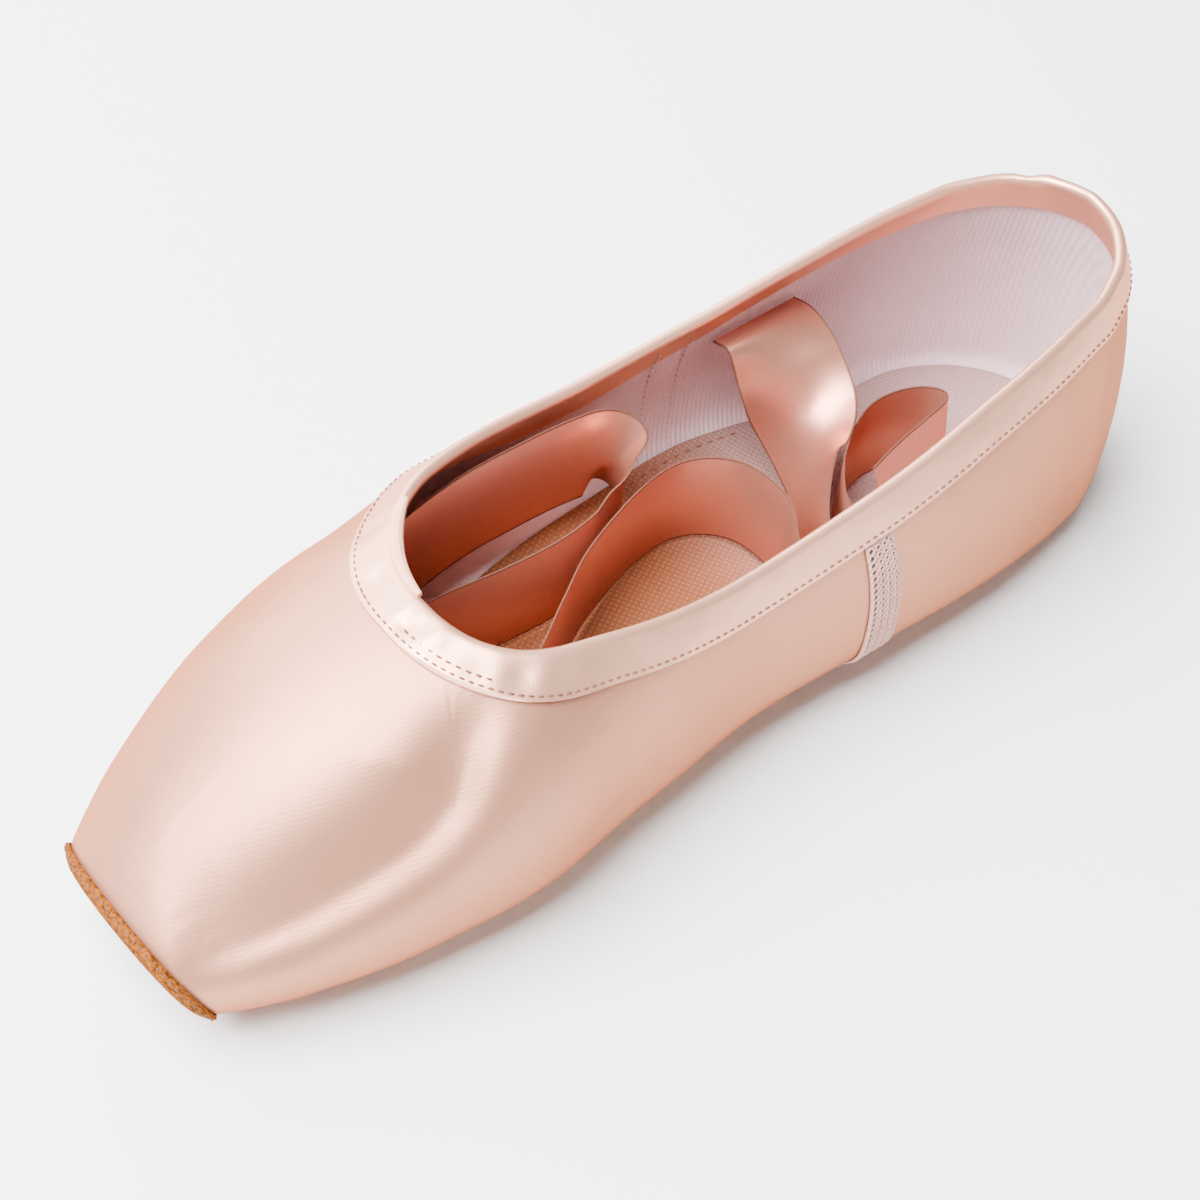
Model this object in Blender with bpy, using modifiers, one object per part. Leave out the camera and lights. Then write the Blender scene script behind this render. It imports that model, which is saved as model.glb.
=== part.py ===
"""Satin pointe shoe, standing empty on its outsole with its ribbons lying inside.

Metres, +Z up, toe towards -Y. The origin is on the floor under the middle of the shoe. The last is one
function of two numbers: path, the distance from the toe platform back to the heel, and angle, from 0
under the foot over the side to pi on top. Every piece is cut from that function.
"""

import math
from collections import namedtuple

import bmesh
import bpy
from mathutils import Vector

# Last
SHOE_LENGTH = 0.235
HEEL_RADIUS = 0.029
HEEL_CENTRE = SHOE_LENGTH - HEEL_RADIUS
FAN_LENGTH = 0.040
PATH_END = HEEL_CENTRE + FAN_LENGTH
EDGE_ROUND = 0.003
PLATFORM_LEAN = math.tan(math.radians(25.0))
PLATFORM_PIVOT = 0.0160
LEAN_FADE = 0.060
ORIGIN_STATION = 0.1156
PATCH_REACH = 0.0024

# Sheet thicknesses and clearances
WALL = 0.0020
GAP = 0.0003
SOLE_THICKNESS = 0.0025
INSOLE_THICKNESS = 0.0018
BINDING_THICKNESS = 0.0008
MESH_THICKNESS = 0.0005
PATCH_THICKNESS = 0.0008
RIBBON_THICKNESS = 0.0005

# Collar, throat and binding
THROAT = 0.0618
THROAT_ROUND = 0.0389
THROAT_POWER = 2.5
COLLAR_BUNCHING = 0.22
BINDING_OUTSIDE = 0.0072
BINDING_INSIDE = 0.0080
BINDING_RIM = 0.0012
BINDING_SEAT = 0.0010

# Opening under the foot, closed by the outsole
OPENING_START = 0.034
OPENING_MARGIN = 0.008
OPENING_HEEL = 0.012
OPENING_TIP = 0.016
OPENING_BUNCHING = 0.5

# Outsole
SOLE_START = 0.026
SOLE_TIP_ROUND = 0.016
SOLE_FLAT = 0.85
SOLE_EDGE_RISE = 0.0006

# Insole
INSOLE_START = 0.016
INSOLE_TIP_ROUND = 0.014
INSOLE_CLEARANCE = 0.0014
INSOLE_SEAT = 0.0008
BED_SHARES = (0.0, 0.4, 0.7, 0.88, 1.0)

# Mesh strips between the vamp wings and the heel quarters
MESH_FRONT = 0.1403
MESH_WIDTH = 0.0083
MESH_SLANT = -0.0020
MESH_BOW = 0.0012
MESH_SEAT = 0.0004
MESH_CLEARANCE = 0.0005
MESH_ROWS = 11
MESH_LOW_ANGLE = math.radians(64.0)

# Ribbons
RIBBON_WIDTH = 0.022

LastRow = namedtuple("LastRow", "path half_width bottom widest crown upper_power lower_power")
SOLE_LEVEL = SOLE_THICKNESS + GAP
LAST = (
    LastRow(0.000, 0.0196, SOLE_LEVEL + 0.0045, 0.0120, 0.0228, 2.2, 3.2),
    LastRow(0.018, 0.0278, SOLE_LEVEL + 0.0030, 0.0160, 0.0350, 2.1, 3.4),
    LastRow(0.040, 0.0345, SOLE_LEVEL + 0.0012, 0.0200, 0.0470, 2.1, 3.4),
    LastRow(0.062, 0.0376, SOLE_LEVEL + 0.0000, 0.0230, 0.0545, 2.1, 3.4),
    LastRow(0.092, 0.0352, SOLE_LEVEL + 0.0000, 0.0240, 0.0615, 2.1, 3.4),
    LastRow(0.120, 0.0331, SOLE_LEVEL + 0.0028, 0.0225, 0.0663, 2.1, 3.4),
    LastRow(0.148, 0.0342, SOLE_LEVEL + 0.0034, 0.0215, 0.0670, 2.1, 3.4),
    LastRow(0.164, 0.0345, SOLE_LEVEL + 0.0020, 0.0208, 0.0686, 2.1, 3.4),
    LastRow(0.178, 0.0341, SOLE_LEVEL + 0.0006, 0.0196, 0.0706, 2.1, 3.4),
    LastRow(0.192, 0.0325, SOLE_LEVEL + 0.0000, 0.0180, 0.0738, 2.1, 3.8),
    LastRow(0.206, 0.0298, SOLE_LEVEL + 0.0000, 0.0150, 0.0766, 2.1, 4.6),
    LastRow(0.216, 0.0280, SOLE_LEVEL + 0.0000, 0.0137, 0.0782, 2.1, 4.6),
    LastRow(0.226, 0.0278, SOLE_LEVEL + 0.0000, 0.0135, 0.0795, 2.1, 4.6),
    LastRow(0.236, 0.0286, SOLE_LEVEL + 0.0000, 0.0135, 0.0800, 2.1, 4.6),
    LastRow(PATH_END, HEEL_RADIUS, SOLE_LEVEL + 0.0000, 0.0135, 0.0805, 2.1, 4.6),
)

SwingRow = namedtuple("SwingRow", "station floor collar")
SWING = (
    SwingRow(0.000, 0.0025, 0.0020),
    SwingRow(0.040, 0.0008, 0.0000),
    SwingRow(0.064, 0.0000, 0.0012),
    SwingRow(0.084, 0.0000, -0.0014),
    SwingRow(0.110, 0.0000, -0.0018),
    SwingRow(0.160, 0.0000, 0.0000),
    SwingRow(0.206, 0.0003, 0.0006),
    SwingRow(0.235, 0.0008, 0.0016),
)
SWING_HEIGHT = 0.048

CollarRow = namedtuple("CollarRow", "path height")
COLLAR = (
    CollarRow(0.060, 0.0482),
    CollarRow(0.085, 0.0500),
    CollarRow(0.115, 0.0478),
    CollarRow(0.145, 0.0505),
    CollarRow(0.175, 0.0555),
    CollarRow(0.206, 0.0600),
    CollarRow(PATH_END, 0.0638),
)

SoleRow = namedtuple("SoleRow", "path half_width")
SOLE = (
    SoleRow(0.026, 0.0200),
    SoleRow(0.050, 0.0265),
    SoleRow(0.075, 0.0285),
    SoleRow(0.105, 0.0235),
    SoleRow(0.140, 0.0160),
    SoleRow(0.170, 0.0175),
    SoleRow(0.195, 0.0205),
    SoleRow(0.206, 0.0210),
    SoleRow(PATH_END, 0.0215),
)

CupRow = namedtuple("CupRow", "path rise")
INSOLE_CUP = (
    CupRow(0.016, 0.0026),
    CupRow(0.080, 0.0030),
    CupRow(0.110, 0.0055),
    CupRow(0.140, 0.0060),
    CupRow(0.165, 0.0045),
    CupRow(0.190, 0.0022),
    CupRow(PATH_END, 0.0012),
)

RibbonRow = namedtuple("RibbonRow", "x y z turn")
RIBBON_FAR = (
    RibbonRow(-0.0286, 0.0510, 0.0406, -90),
    RibbonRow(-0.0235, 0.0510, 0.0413, -88),
    RibbonRow(-0.0175, 0.0506, 0.0370, -72),
    RibbonRow(-0.0100, 0.0498, 0.0290, -48),
    RibbonRow(-0.0030, 0.0465, 0.0243, -25),
    RibbonRow(0.0025, 0.0420, 0.0230, -12),
    RibbonRow(0.0105, 0.0350, 0.0228, -4),
    RibbonRow(0.0170, 0.0302, 0.0235, 0),
    RibbonRow(0.0210, 0.0300, 0.0240, 0),
    RibbonRow(0.0220, 0.0333, 0.0240, 0),
    RibbonRow(0.0185, 0.0358, 0.0236, 0),
    RibbonRow(0.0125, 0.0385, 0.0228, 0),
    RibbonRow(0.0070, 0.0432, 0.0228, 0),
    RibbonRow(0.0032, 0.0480, 0.0225, 0),
    RibbonRow(0.0005, 0.0525, 0.0222, 0),
    RibbonRow(-0.0020, 0.0580, 0.0218, 0),
    RibbonRow(-0.0030, 0.0635, 0.0212, 0),
    RibbonRow(-0.0024, 0.0688, 0.0209, 0),
    RibbonRow(-0.0002, 0.0735, 0.0207, 0),
    RibbonRow(0.0032, 0.0760, 0.0208, 2),
    RibbonRow(0.0066, 0.0744, 0.0211, 8),
    RibbonRow(0.0095, 0.0672, 0.0217, 16),
    RibbonRow(0.0122, 0.0580, 0.0225, 22),
    RibbonRow(0.0150, 0.0485, 0.0232, 24),
)
RIBBON_NEAR = (
    RibbonRow(0.0296, 0.0520, 0.0316, 7),
    RibbonRow(0.0288, 0.0420, 0.0293, 6),
    RibbonRow(0.0262, 0.0320, 0.0267, 3),
    RibbonRow(0.0222, 0.0250, 0.0249, 0),
    RibbonRow(0.0165, 0.0228, 0.0236, 0),
    RibbonRow(0.0076, 0.0282, 0.0235, 0),
    RibbonRow(-0.0041, 0.0276, 0.0235, 0),
    RibbonRow(-0.0112, 0.0199, 0.0233, 0),
    RibbonRow(-0.0116, 0.0088, 0.0228, 0),
    RibbonRow(-0.0066, -0.0084, 0.0216, 0),
    RibbonRow(0.0000, -0.0205, 0.0208, 0),
    RibbonRow(0.0061, -0.0308, 0.0203, 0),
    RibbonRow(0.0115, -0.0440, 0.0201, 0),
    RibbonRow(0.0115, -0.0560, 0.0199, 0),
    RibbonRow(0.0040, -0.0630, 0.0198, 0),
    RibbonRow(-0.0060, -0.0600, 0.0198, 0),
    RibbonRow(-0.0120, -0.0500, 0.0199, 0),
    RibbonRow(-0.0145, -0.0396, 0.0201, 0),
    RibbonRow(-0.0124, -0.0240, 0.0206, 0),
    RibbonRow(-0.0115, -0.0120, 0.0210, 0),
    RibbonRow(-0.0120, -0.0034, 0.0221, 0),
    RibbonRow(-0.0137, 0.0022, 0.0236, 0),
    RibbonRow(-0.0160, 0.0070, 0.0258, 0),
    RibbonRow(-0.0190, 0.0100, 0.0284, 1),
    RibbonRow(-0.0222, 0.0108, 0.0306, 2),
    RibbonRow(-0.0245, 0.0078, 0.0322, 2),
    RibbonRow(-0.0254, 0.0010, 0.0330, 2),
    RibbonRow(-0.0259, -0.0100, 0.0332, 2),
    RibbonRow(-0.0261, -0.0240, 0.0328, 2),
    RibbonRow(-0.0250, -0.0380, 0.0308, 2),
    RibbonRow(-0.0228, -0.0500, 0.0272, 0),
)

# Mesh fineness
TOE_COLUMNS = 9
EDGE_COLUMNS = 3
COLLAR_COLUMNS = 31
SECTION_ROWS = 16
COLUMN_SWEEP = 1.6
RIBBON_PIECES = 3
TIP_SHARES = (0.03, 0.25, 0.5, 0.75)
BOARD_ROWS = 26
SEARCH_STEPS = 30
STEP = 0.0002
ANGLE_STEP = 0.004

Finish = namedtuple("Finish", "color roughness metallic")
FINISHES = {
    "satin": Finish((0.79, 0.52, 0.42), 0.38, 0.0),
    "suede": Finish((0.55, 0.30, 0.12), 0.95, 0.0),
    "sole_leather": Finish((0.52, 0.36, 0.24), 0.70, 0.0),
    "insole_fabric": Finish((0.68, 0.44, 0.30), 0.85, 0.0),
    "binding_satin": Finish((0.81, 0.53, 0.40), 0.45, 0.0),
    "mesh_knit": Finish((0.62, 0.42, 0.38), 0.80, 0.0),
    "ribbon_satin": Finish((0.78, 0.42, 0.30), 0.32, 0.0),
}


def read_table(rows, where):
    """Row of a table at a place between its rows, each column on a curve that never overshoots them."""
    places = [row[0] for row in rows]
    last = len(rows) - 2
    first = max(0, min(last, sum(place <= where for place in places) - 1))
    span = places[first + 1] - places[first]
    t = max(0.0, min(1.0, (where - places[first]) / span))
    values = []
    for column in range(len(rows[0])):
        level = [row[column] for row in rows]
        here, there = level[first], level[first + 1]
        slope_here = table_slope(places, level, first) * span
        slope_there = table_slope(places, level, first + 1) * span
        rise = t * t * (3 - 2 * t)
        values.append(
            here + (there - here) * rise
            + slope_here * t * (1 - t) ** 2 - slope_there * t * t * (1 - t)
        )
    return type(rows[0])(*values)


def table_slope(places, level, row):
    """Slope of a column at a row: zero at a peak, the nearest span's at an end, else between its neighbours."""
    if row == 0 or row == len(places) - 1:
        near = min(row, len(places) - 2)
        return (level[near + 1] - level[near]) / (places[near + 1] - places[near])
    before = (level[row] - level[row - 1]) / (places[row] - places[row - 1])
    after = (level[row + 1] - level[row]) / (places[row + 1] - places[row])
    if before * after <= 0:
        return 0.0
    return 2 * before * after / (before + after)


def along_last(path):
    """Station, turn round the heel, and inset of the rounded platform edge, at a path distance."""
    if path < EDGE_ROUND:
        lean_in = path / EDGE_ROUND * math.pi / 2
        return EDGE_ROUND * (1 - math.cos(lean_in)), 0.0, EDGE_ROUND * (1 - math.sin(lean_in))
    if path > HEEL_CENTRE:
        return HEEL_CENTRE, (path - HEEL_CENTRE) / FAN_LENGTH * math.pi / 2, 0.0
    return path, 0.0, 0.0


def section_at(path):
    """The last's section at a path distance, its half width taken square to the turn round the heel."""
    station, turn, inset = along_last(path)
    row = read_table(LAST, min(path, 2 * PATH_END - path) if turn else station)
    return row._replace(
        half_width=row.half_width - inset, bottom=row.bottom + inset, crown=row.crown - inset
    )


def place(path, across, height):
    """World point at a distance across from the path, leaning forward over the platform."""
    station, turn, _ = along_last(path)
    fade = max(0.0, 1 - station / LEAN_FADE) ** 2
    lean = PLATFORM_LEAN * (height - PLATFORM_PIVOT) * fade
    return Vector((
        across * math.cos(turn),
        station + across * math.sin(turn) - lean - ORIGIN_STATION,
        height,
    ))


def last_point(path, angle):
    """Point on the last's surface."""
    section = section_at(path)
    side, lift = math.sin(angle), -math.cos(angle)
    if lift > 0:
        reach, power = section.crown - section.widest, section.upper_power
    else:
        reach, power = section.widest - section.bottom, section.lower_power
    ray = (abs(side / section.half_width) ** power + abs(lift / reach) ** power) ** (-1 / power)
    return place(path, ray * side, section.widest + ray * lift)


def surface_slopes(path, angle):
    """How the surface point moves with path and with angle."""
    along = (last_point(path + STEP, angle) - last_point(path - STEP, angle)) / (2 * STEP)
    around = last_point(path, angle + ANGLE_STEP) - last_point(path, angle - ANGLE_STEP)
    return along, around / (2 * ANGLE_STEP)


def surface(path, angle, outward=0.0):
    """Point a distance outward from the last, or inward if negative."""
    if not outward:
        return last_point(path, angle)
    along, around = surface_slopes(path, angle)
    return last_point(path, angle) + along.cross(around).normalized() * outward


def walk(path, angle, direction, distance, strides=3):
    """Path and angle reached by going a distance over the surface in a direction."""
    for _ in range(strides):
        along, around = surface_slopes(path, angle)
        normal = along.cross(around).normalized()
        heading = (direction - normal * direction.dot(normal)).normalized()
        along_sq, around_sq, mixed = along.length_squared, around.length_squared, along.dot(around)
        spread = along_sq * around_sq - mixed * mixed
        ahead, aside = along.dot(heading), around.dot(heading)
        stride = distance / strides
        path += (ahead * around_sq - aside * mixed) / spread * stride
        angle += (aside * along_sq - ahead * mixed) / spread * stride
    return path, angle


def bunched(fraction, bunching, power=2.0):
    """Fraction that starts slowly, so that a rounded corner gets its share of columns."""
    part = abs(fraction)
    return part ** power * (1 + bunching) / (part ** (power - 1) + bunching)


def side_angle(path, height):
    """Angle at which the last's upper side reaches a height."""
    section = section_at(path)
    lift = (height - section.widest) / (section.crown - section.widest)
    across = section.half_width * (1 - lift ** section.upper_power) ** (1 / section.upper_power)
    return math.pi / 2 + math.atan2(height - section.widest, across)


def collar_place(fraction):
    """Path and angle of the collar's edge, from 0 at the throat to 1 at the back of the heel."""
    path = THROAT + (PATH_END - THROAT) * bunched(fraction, COLLAR_BUNCHING, THROAT_POWER)
    mirrored = min(path, 2 * PATH_END - path)
    level = side_angle(mirrored, read_table(COLLAR, mirrored).height)
    turned = min(1.0, (path - THROAT) / THROAT_ROUND)
    opened = (math.pi - level) * (1 - (1 - turned) ** THROAT_POWER) ** (1 / THROAT_POWER)
    return path, math.pi - math.copysign(opened, fraction)


def sole_half_width(path):
    """Half width of the outsole, rounded at its tip."""
    half = read_table(SOLE, path).half_width
    into_tip = min(1.0, (path - SOLE_START) / SOLE_TIP_ROUND)
    return half * math.sqrt(max(0.0, 1 - (1 - into_tip) ** 2))


def opening_place(fraction):
    """Path and angle of the edge of the opening under the foot."""
    path = OPENING_START + (PATH_END - OPENING_START) * bunched(fraction, OPENING_BUNCHING)
    half = read_table(SOLE, path).half_width - OPENING_MARGIN
    if path > HEEL_CENTRE:
        half = min(half, OPENING_HEEL)
    half *= math.sin(min(1.0, (path - OPENING_START) / OPENING_TIP) * math.pi / 2)
    section = section_at(path)
    return path, math.atan2(half, section.widest - section.bottom)


def height_at(path, across, outward):
    """Height of the last's underside, moved outward, at a distance across from the path."""
    low, high = 0.0, math.pi / 2
    for _ in range(SEARCH_STEPS):
        middle = (low + high) / 2
        point = surface(path, middle, outward)
        if from_path(path, point) < across:
            low = middle
        else:
            high = middle
    return surface(path, low, outward).z


def half_width_at(path, height, outward):
    """Distance across at which the last's lower side, moved outward, reaches a height."""
    low, high = 0.0, math.pi / 2
    for _ in range(SEARCH_STEPS):
        middle = (low + high) / 2
        if surface(path, middle, outward).z < height:
            low = middle
        else:
            high = middle
    return from_path(path, surface(path, low, outward))


def from_path(path, point):
    """Distance across of a point from the path's axis."""
    station, turn, _ = along_last(path)
    beyond = point.y + ORIGIN_STATION - station
    return point.x * math.cos(turn) + (beyond * math.sin(turn) if turn else 0.0)


def new_object(name, bm, finish):
    """Object from a bmesh, smooth, in the shoe's collection and with its own material."""
    bmesh.ops.remove_doubles(bm, verts=bm.verts, dist=1e-6)
    mesh = bpy.data.meshes.new(name)
    bm.to_mesh(mesh)
    bm.free()
    mesh.shade_smooth()
    mesh.set_sharp_from_angle(angle=math.radians(40))
    mesh.materials.append(new_material(name, finish))
    obj = bpy.data.objects.new(name, mesh)
    SHOE.objects.link(obj)
    return obj


def new_material(name, finish):
    """Plain finish of one piece."""
    look = FINISHES[finish]
    material = bpy.data.materials.new(name + "_" + finish)
    material.use_nodes = True
    shader = material.node_tree.nodes["Principled BSDF"]
    shader.inputs["Base Color"].default_value = (*look.color, 1.0)
    shader.inputs["Roughness"].default_value = look.roughness
    shader.inputs["Metallic"].default_value = look.metallic
    return material


def add_sheet(bm, rows, closed=False):
    """Quads between rows of points, each row joined to the next one. Returns the rows' vertices."""
    made = [[bm.verts.new(point) for point in row] for row in rows]
    count = len(rows[0])
    for before, after in zip(made, made[1:]):
        for i in range(count if closed else count - 1):
            j = (i + 1) % count
            bm.faces.new((before[i], after[i], after[j], before[j]))
    return made


def mirror(obj):
    """Other half of a piece that is open at the centre plane, and then the shoe's slight swing."""
    modifier = obj.modifiers.new("Other half", "MIRROR")
    modifier.merge_threshold = 0.00001
    bpy.context.view_layer.objects.active = obj
    bpy.ops.object.modifier_apply(modifier=modifier.name)
    swing(obj)


def swing(obj):
    """Move a piece sideways where the toe and the collar of the shoe swing off its centre plane."""
    for vertex in obj.data.vertices:
        row = read_table(SWING, vertex.co.y + ORIGIN_STATION)
        vertex.co.x += row.floor + (row.collar - row.floor) * vertex.co.z / SWING_HEIGHT


def thicken(obj, thickness, outward):
    """Real thickness of a sheet, on its outer or inner side."""
    modifier = obj.modifiers.new("Thickness", "SOLIDIFY")
    modifier.thickness = thickness
    modifier.offset = 1.0 if outward else -1.0
    modifier.use_quality_normals = True


def add_platform(bm, ring):
    """Flat end that closes a half ring of the toe, open at the centre plane."""
    middle = [Vector((0.0, point.co.y, point.co.z)) for point in ring]
    spine = [bm.verts.new(point) for point in middle]
    for i in range(len(ring) - 1):
        bm.faces.new((spine[i], ring[i], ring[i + 1], spine[i + 1]))


def upper_column(column):
    """Lower and upper ends of one column of the upper, each as path and angle."""
    if column <= EDGE_COLUMNS:
        path = EDGE_ROUND * column / EDGE_COLUMNS
        return (path, 0.0), (path, math.pi)
    if column <= EDGE_COLUMNS + TOE_COLUMNS:
        share = (column - EDGE_COLUMNS) / TOE_COLUMNS
        low = EDGE_ROUND + (OPENING_START - EDGE_ROUND) * share
        high = EDGE_ROUND + (THROAT - EDGE_ROUND) * share
        return (low, 0.0), (high, math.pi)
    fraction = (column - EDGE_COLUMNS - TOE_COLUMNS) / COLLAR_COLUMNS
    return opening_place(fraction), collar_place(fraction)


def build_upper():
    """Hollow upper: open at the collar and under the foot, closed by the platform at the toe."""
    bm = bmesh.new()
    columns = []
    for column in range(EDGE_COLUMNS + TOE_COLUMNS + COLLAR_COLUMNS + 1):
        low, high = upper_column(column)
        points = []
        for row in range(SECTION_ROWS + 1):
            share = row / SECTION_ROWS
            path = low[0] + (high[0] - low[0]) * share ** COLUMN_SWEEP
            angle = low[1] + (high[1] - low[1]) * share
            points.append(surface(path, angle))
        columns.append(points)
    made = add_sheet(bm, columns)
    add_platform(bm, made[0])
    obj = new_object("upper", bm, "satin")
    mirror(obj)
    thicken(obj, WALL, outward=False)


def build_platform_patch():
    """Suede over the flat platform and partway round its edge."""
    bm = bmesh.new()
    columns = []
    for column in range(EDGE_COLUMNS + 1):
        path = PATCH_REACH * column / EDGE_COLUMNS
        angles = [math.pi * row / SECTION_ROWS for row in range(SECTION_ROWS + 1)]
        columns.append([surface(path, angle, GAP) for angle in angles])
    made = add_sheet(bm, columns)
    add_platform(bm, made[0])
    obj = new_object("platform_patch", bm, "suede")
    mirror(obj)
    thicken(obj, PATCH_THICKNESS, outward=True)


def build_binding():
    """Bias tape folded over the collar's edge, as a channel that runs round the whole opening."""
    low, high = GAP, GAP + BINDING_THICKNESS
    inner_low = -WALL - BINDING_SEAT
    inner_high = inner_low - BINDING_THICKNESS
    profile = (
        (BINDING_OUTSIDE, low), (BINDING_OUTSIDE, high), (BINDING_OUTSIDE / 2, high), (0.0, high),
        (-BINDING_RIM, high - WALL / 2), (-BINDING_RIM, inner_high + WALL / 2), (0.0, inner_high),
        (BINDING_INSIDE / 2, inner_high), (BINDING_INSIDE, inner_high), (BINDING_INSIDE, inner_low),
        (BINDING_INSIDE / 2, inner_low), (0.0, inner_low), (-GAP, inner_low), (-GAP, low),
        (0.0, low), (BINDING_OUTSIDE / 2, low),
    )
    bm = bmesh.new()
    rings = []
    for column in range(COLLAR_COLUMNS + 1):
        fraction = column / COLLAR_COLUMNS
        path, angle = collar_place(fraction)
        edge = last_point(path, angle)
        ahead = last_point(*collar_place(fraction + 0.002)) - last_point(*collar_place(fraction - 0.002))
        along, around = surface_slopes(path, angle)
        normal = along.cross(around).normalized()
        down = ahead.cross(normal).normalized()
        ring = []
        for depth, outward in profile:
            if depth > 0:
                ring.append(surface(*walk(path, angle, down, depth), outward))
            else:
                ring.append(edge + normal * outward + down * depth)
        rings.append(ring)
    add_sheet(bm, rings, closed=True)
    mirror(new_object("collar_binding", bm, "binding_satin"))


def build_mesh_strip(name, side):
    """Knit band down one side of the upper, from the binding to the sole edge."""
    bm = bmesh.new()
    columns = []
    for column in range(3):
        points = []
        for row in range(MESH_ROWS + 1):
            share = row / MESH_ROWS
            bow = MESH_BOW * math.sin(math.pi * share)
            path = MESH_FRONT + (MESH_WIDTH + MESH_SLANT * share) * column / 2 + bow
            fraction = collar_fraction(path)
            top = collar_place(fraction)
            _, top_angle = walk(*top, Vector((0, 0, -1)), BINDING_OUTSIDE + MESH_CLEARANCE)
            angle = MESH_LOW_ANGLE + (top_angle - MESH_LOW_ANGLE) * share
            point = surface(path, angle, MESH_SEAT)
            points.append(Vector((side * point.x, point.y, point.z)))
        columns.append(points)
    if side < 0:
        columns.reverse()
    add_sheet(bm, columns)
    obj = new_object(name, bm, "mesh_knit")
    swing(obj)
    thicken(obj, MESH_THICKNESS, outward=True)


def collar_fraction(path):
    """Fraction of the collar at which it reaches a path distance."""
    low, high = 0.0, 1.0
    for _ in range(SEARCH_STEPS):
        middle = (low + high) / 2
        if collar_place(middle)[0] < path:
            low = middle
        else:
            high = middle
    return low


def board_paths(start):
    """Path distances of a sole's rows: close together at its rounded tip, then even."""
    tip = [start + SOLE_TIP_ROUND * share * share for share in TIP_SHARES]
    body_start = start + SOLE_TIP_ROUND
    pitch = (PATH_END - body_start) / BOARD_ROWS
    return tip + [body_start + pitch * row for row in range(BOARD_ROWS + 1)]


def bed(path, half, outward, lift):
    """Points across the underside of the last, moved outward and then lifted, from the middle to a half width."""
    return [
        place(path, half * share, height_at(path, half * share, outward) + lift)
        for share in BED_SHARES
    ]


def build_outsole():
    """Leather sole under the upper, flat on the floor at the ball and heel."""
    bm = bmesh.new()
    rows = []
    for path in board_paths(SOLE_START):
        half = sole_half_width(path)
        top = bed(path, half, 0.0, -GAP)
        bottom = top[0].z - SOLE_THICKNESS
        edge = bottom + min(top[-1].z - top[0].z, SOLE_EDGE_RISE)
        under = [place(path, 0.0, bottom), place(path, half * SOLE_FLAT, bottom), place(path, half, edge)]
        rows.append(under + top[::-1])
    made = add_sheet(bm, rows)
    bm.faces.new(made[0])
    mirror(new_object("outsole", bm, "sole_leather"))


def build_insole():
    """Full-length board inside, lying on the margin that the upper turns under the foot."""
    bm = bmesh.new()
    rows = []
    for path in board_paths(INSOLE_START):
        floor = section_at(path).bottom + WALL
        into_tip = min(1.0, (path - INSOLE_START) / INSOLE_TIP_ROUND)
        tip = math.sqrt(1 - (1 - into_tip) ** 2)
        edge = floor + read_table(INSOLE_CUP, path).rise
        half = (half_width_at(path, edge, -WALL) - INSOLE_CLEARANCE) * tip
        under = bed(path, half, -WALL, INSOLE_SEAT)
        rows.append(under + [point + Vector((0, 0, INSOLE_THICKNESS)) for point in reversed(under)])
    made = add_sheet(bm, rows)
    bm.faces.new(made[0])
    mirror(new_object("insole", bm, "insole_fabric"))


def smooth_route(rows, pieces):
    """Points between a route's rows on a smooth curve, with the band's turn at each."""
    places = [Vector((row.x, row.y, row.z)) for row in rows]
    ends = [2 * places[0] - places[1]] + places + [2 * places[-1] - places[-2]]
    turns = [rows[0].turn] + [row.turn for row in rows] + [rows[-1].turn]
    route = []
    for i in range(len(rows) - 1):
        for step in range(pieces):
            t = step / pieces
            route.append((curve_between(ends[i:i + 4], t), curve_between(turns[i:i + 4], t)))
    route.append((places[-1], rows[-1].turn))
    return route


def curve_between(four, t):
    """Smooth curve through four values, between the second and third."""
    a, b, c, d = four
    return (2 * b + (c - a) * t + (2 * a - 5 * b + 4 * c - d) * t * t
            + (3 * b - 3 * c + d - a) * t ** 3) * 0.5


def build_ribbon(name, rows):
    """Satin ribbon on edge along its route; its turn leans the band about the route."""
    route = smooth_route(rows, RIBBON_PIECES)
    bm = bmesh.new()
    bands = []
    for i, (point, turn) in enumerate(route):
        before, after = route[max(0, i - 1)][0], route[min(len(route) - 1, i + 1)][0]
        heading = (after - before).normalized()
        level = heading.cross(Vector((0, 0, 1))).normalized()
        upright = level.cross(heading)
        lean = math.radians(turn)
        edge = (upright * math.cos(lean) + level * math.sin(lean)) * RIBBON_WIDTH / 2
        bands.append([point - edge, point + edge])
    add_sheet(bm, bands)
    thicken(new_object(name, bm, "ribbon_satin"), RIBBON_THICKNESS, outward=True)


def clear_scene():
    """Remove the scene's objects and make the shoe's collection."""
    for obj in list(bpy.data.objects):
        bpy.data.objects.remove(obj)
    shoe = bpy.data.collections.new("pointe_shoe")
    bpy.context.scene.collection.children.link(shoe)
    return shoe


SHOE = clear_scene()
build_upper()
build_platform_patch()
build_binding()
build_mesh_strip("side_mesh_right", 1)
build_mesh_strip("side_mesh_left", -1)
build_outsole()
build_insole()
build_ribbon("ribbon_far", RIBBON_FAR)
build_ribbon("ribbon_near", RIBBON_NEAR)
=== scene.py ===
"""Looks of a satin pointe shoe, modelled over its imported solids. Metres, +Z up, toe towards -Y."""

import math

import bpy
import numpy as np
from bpy.props import FloatProperty, FloatVectorProperty, PointerProperty
from mathutils import Matrix, Vector
from mathutils.kdtree import KDTree


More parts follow.
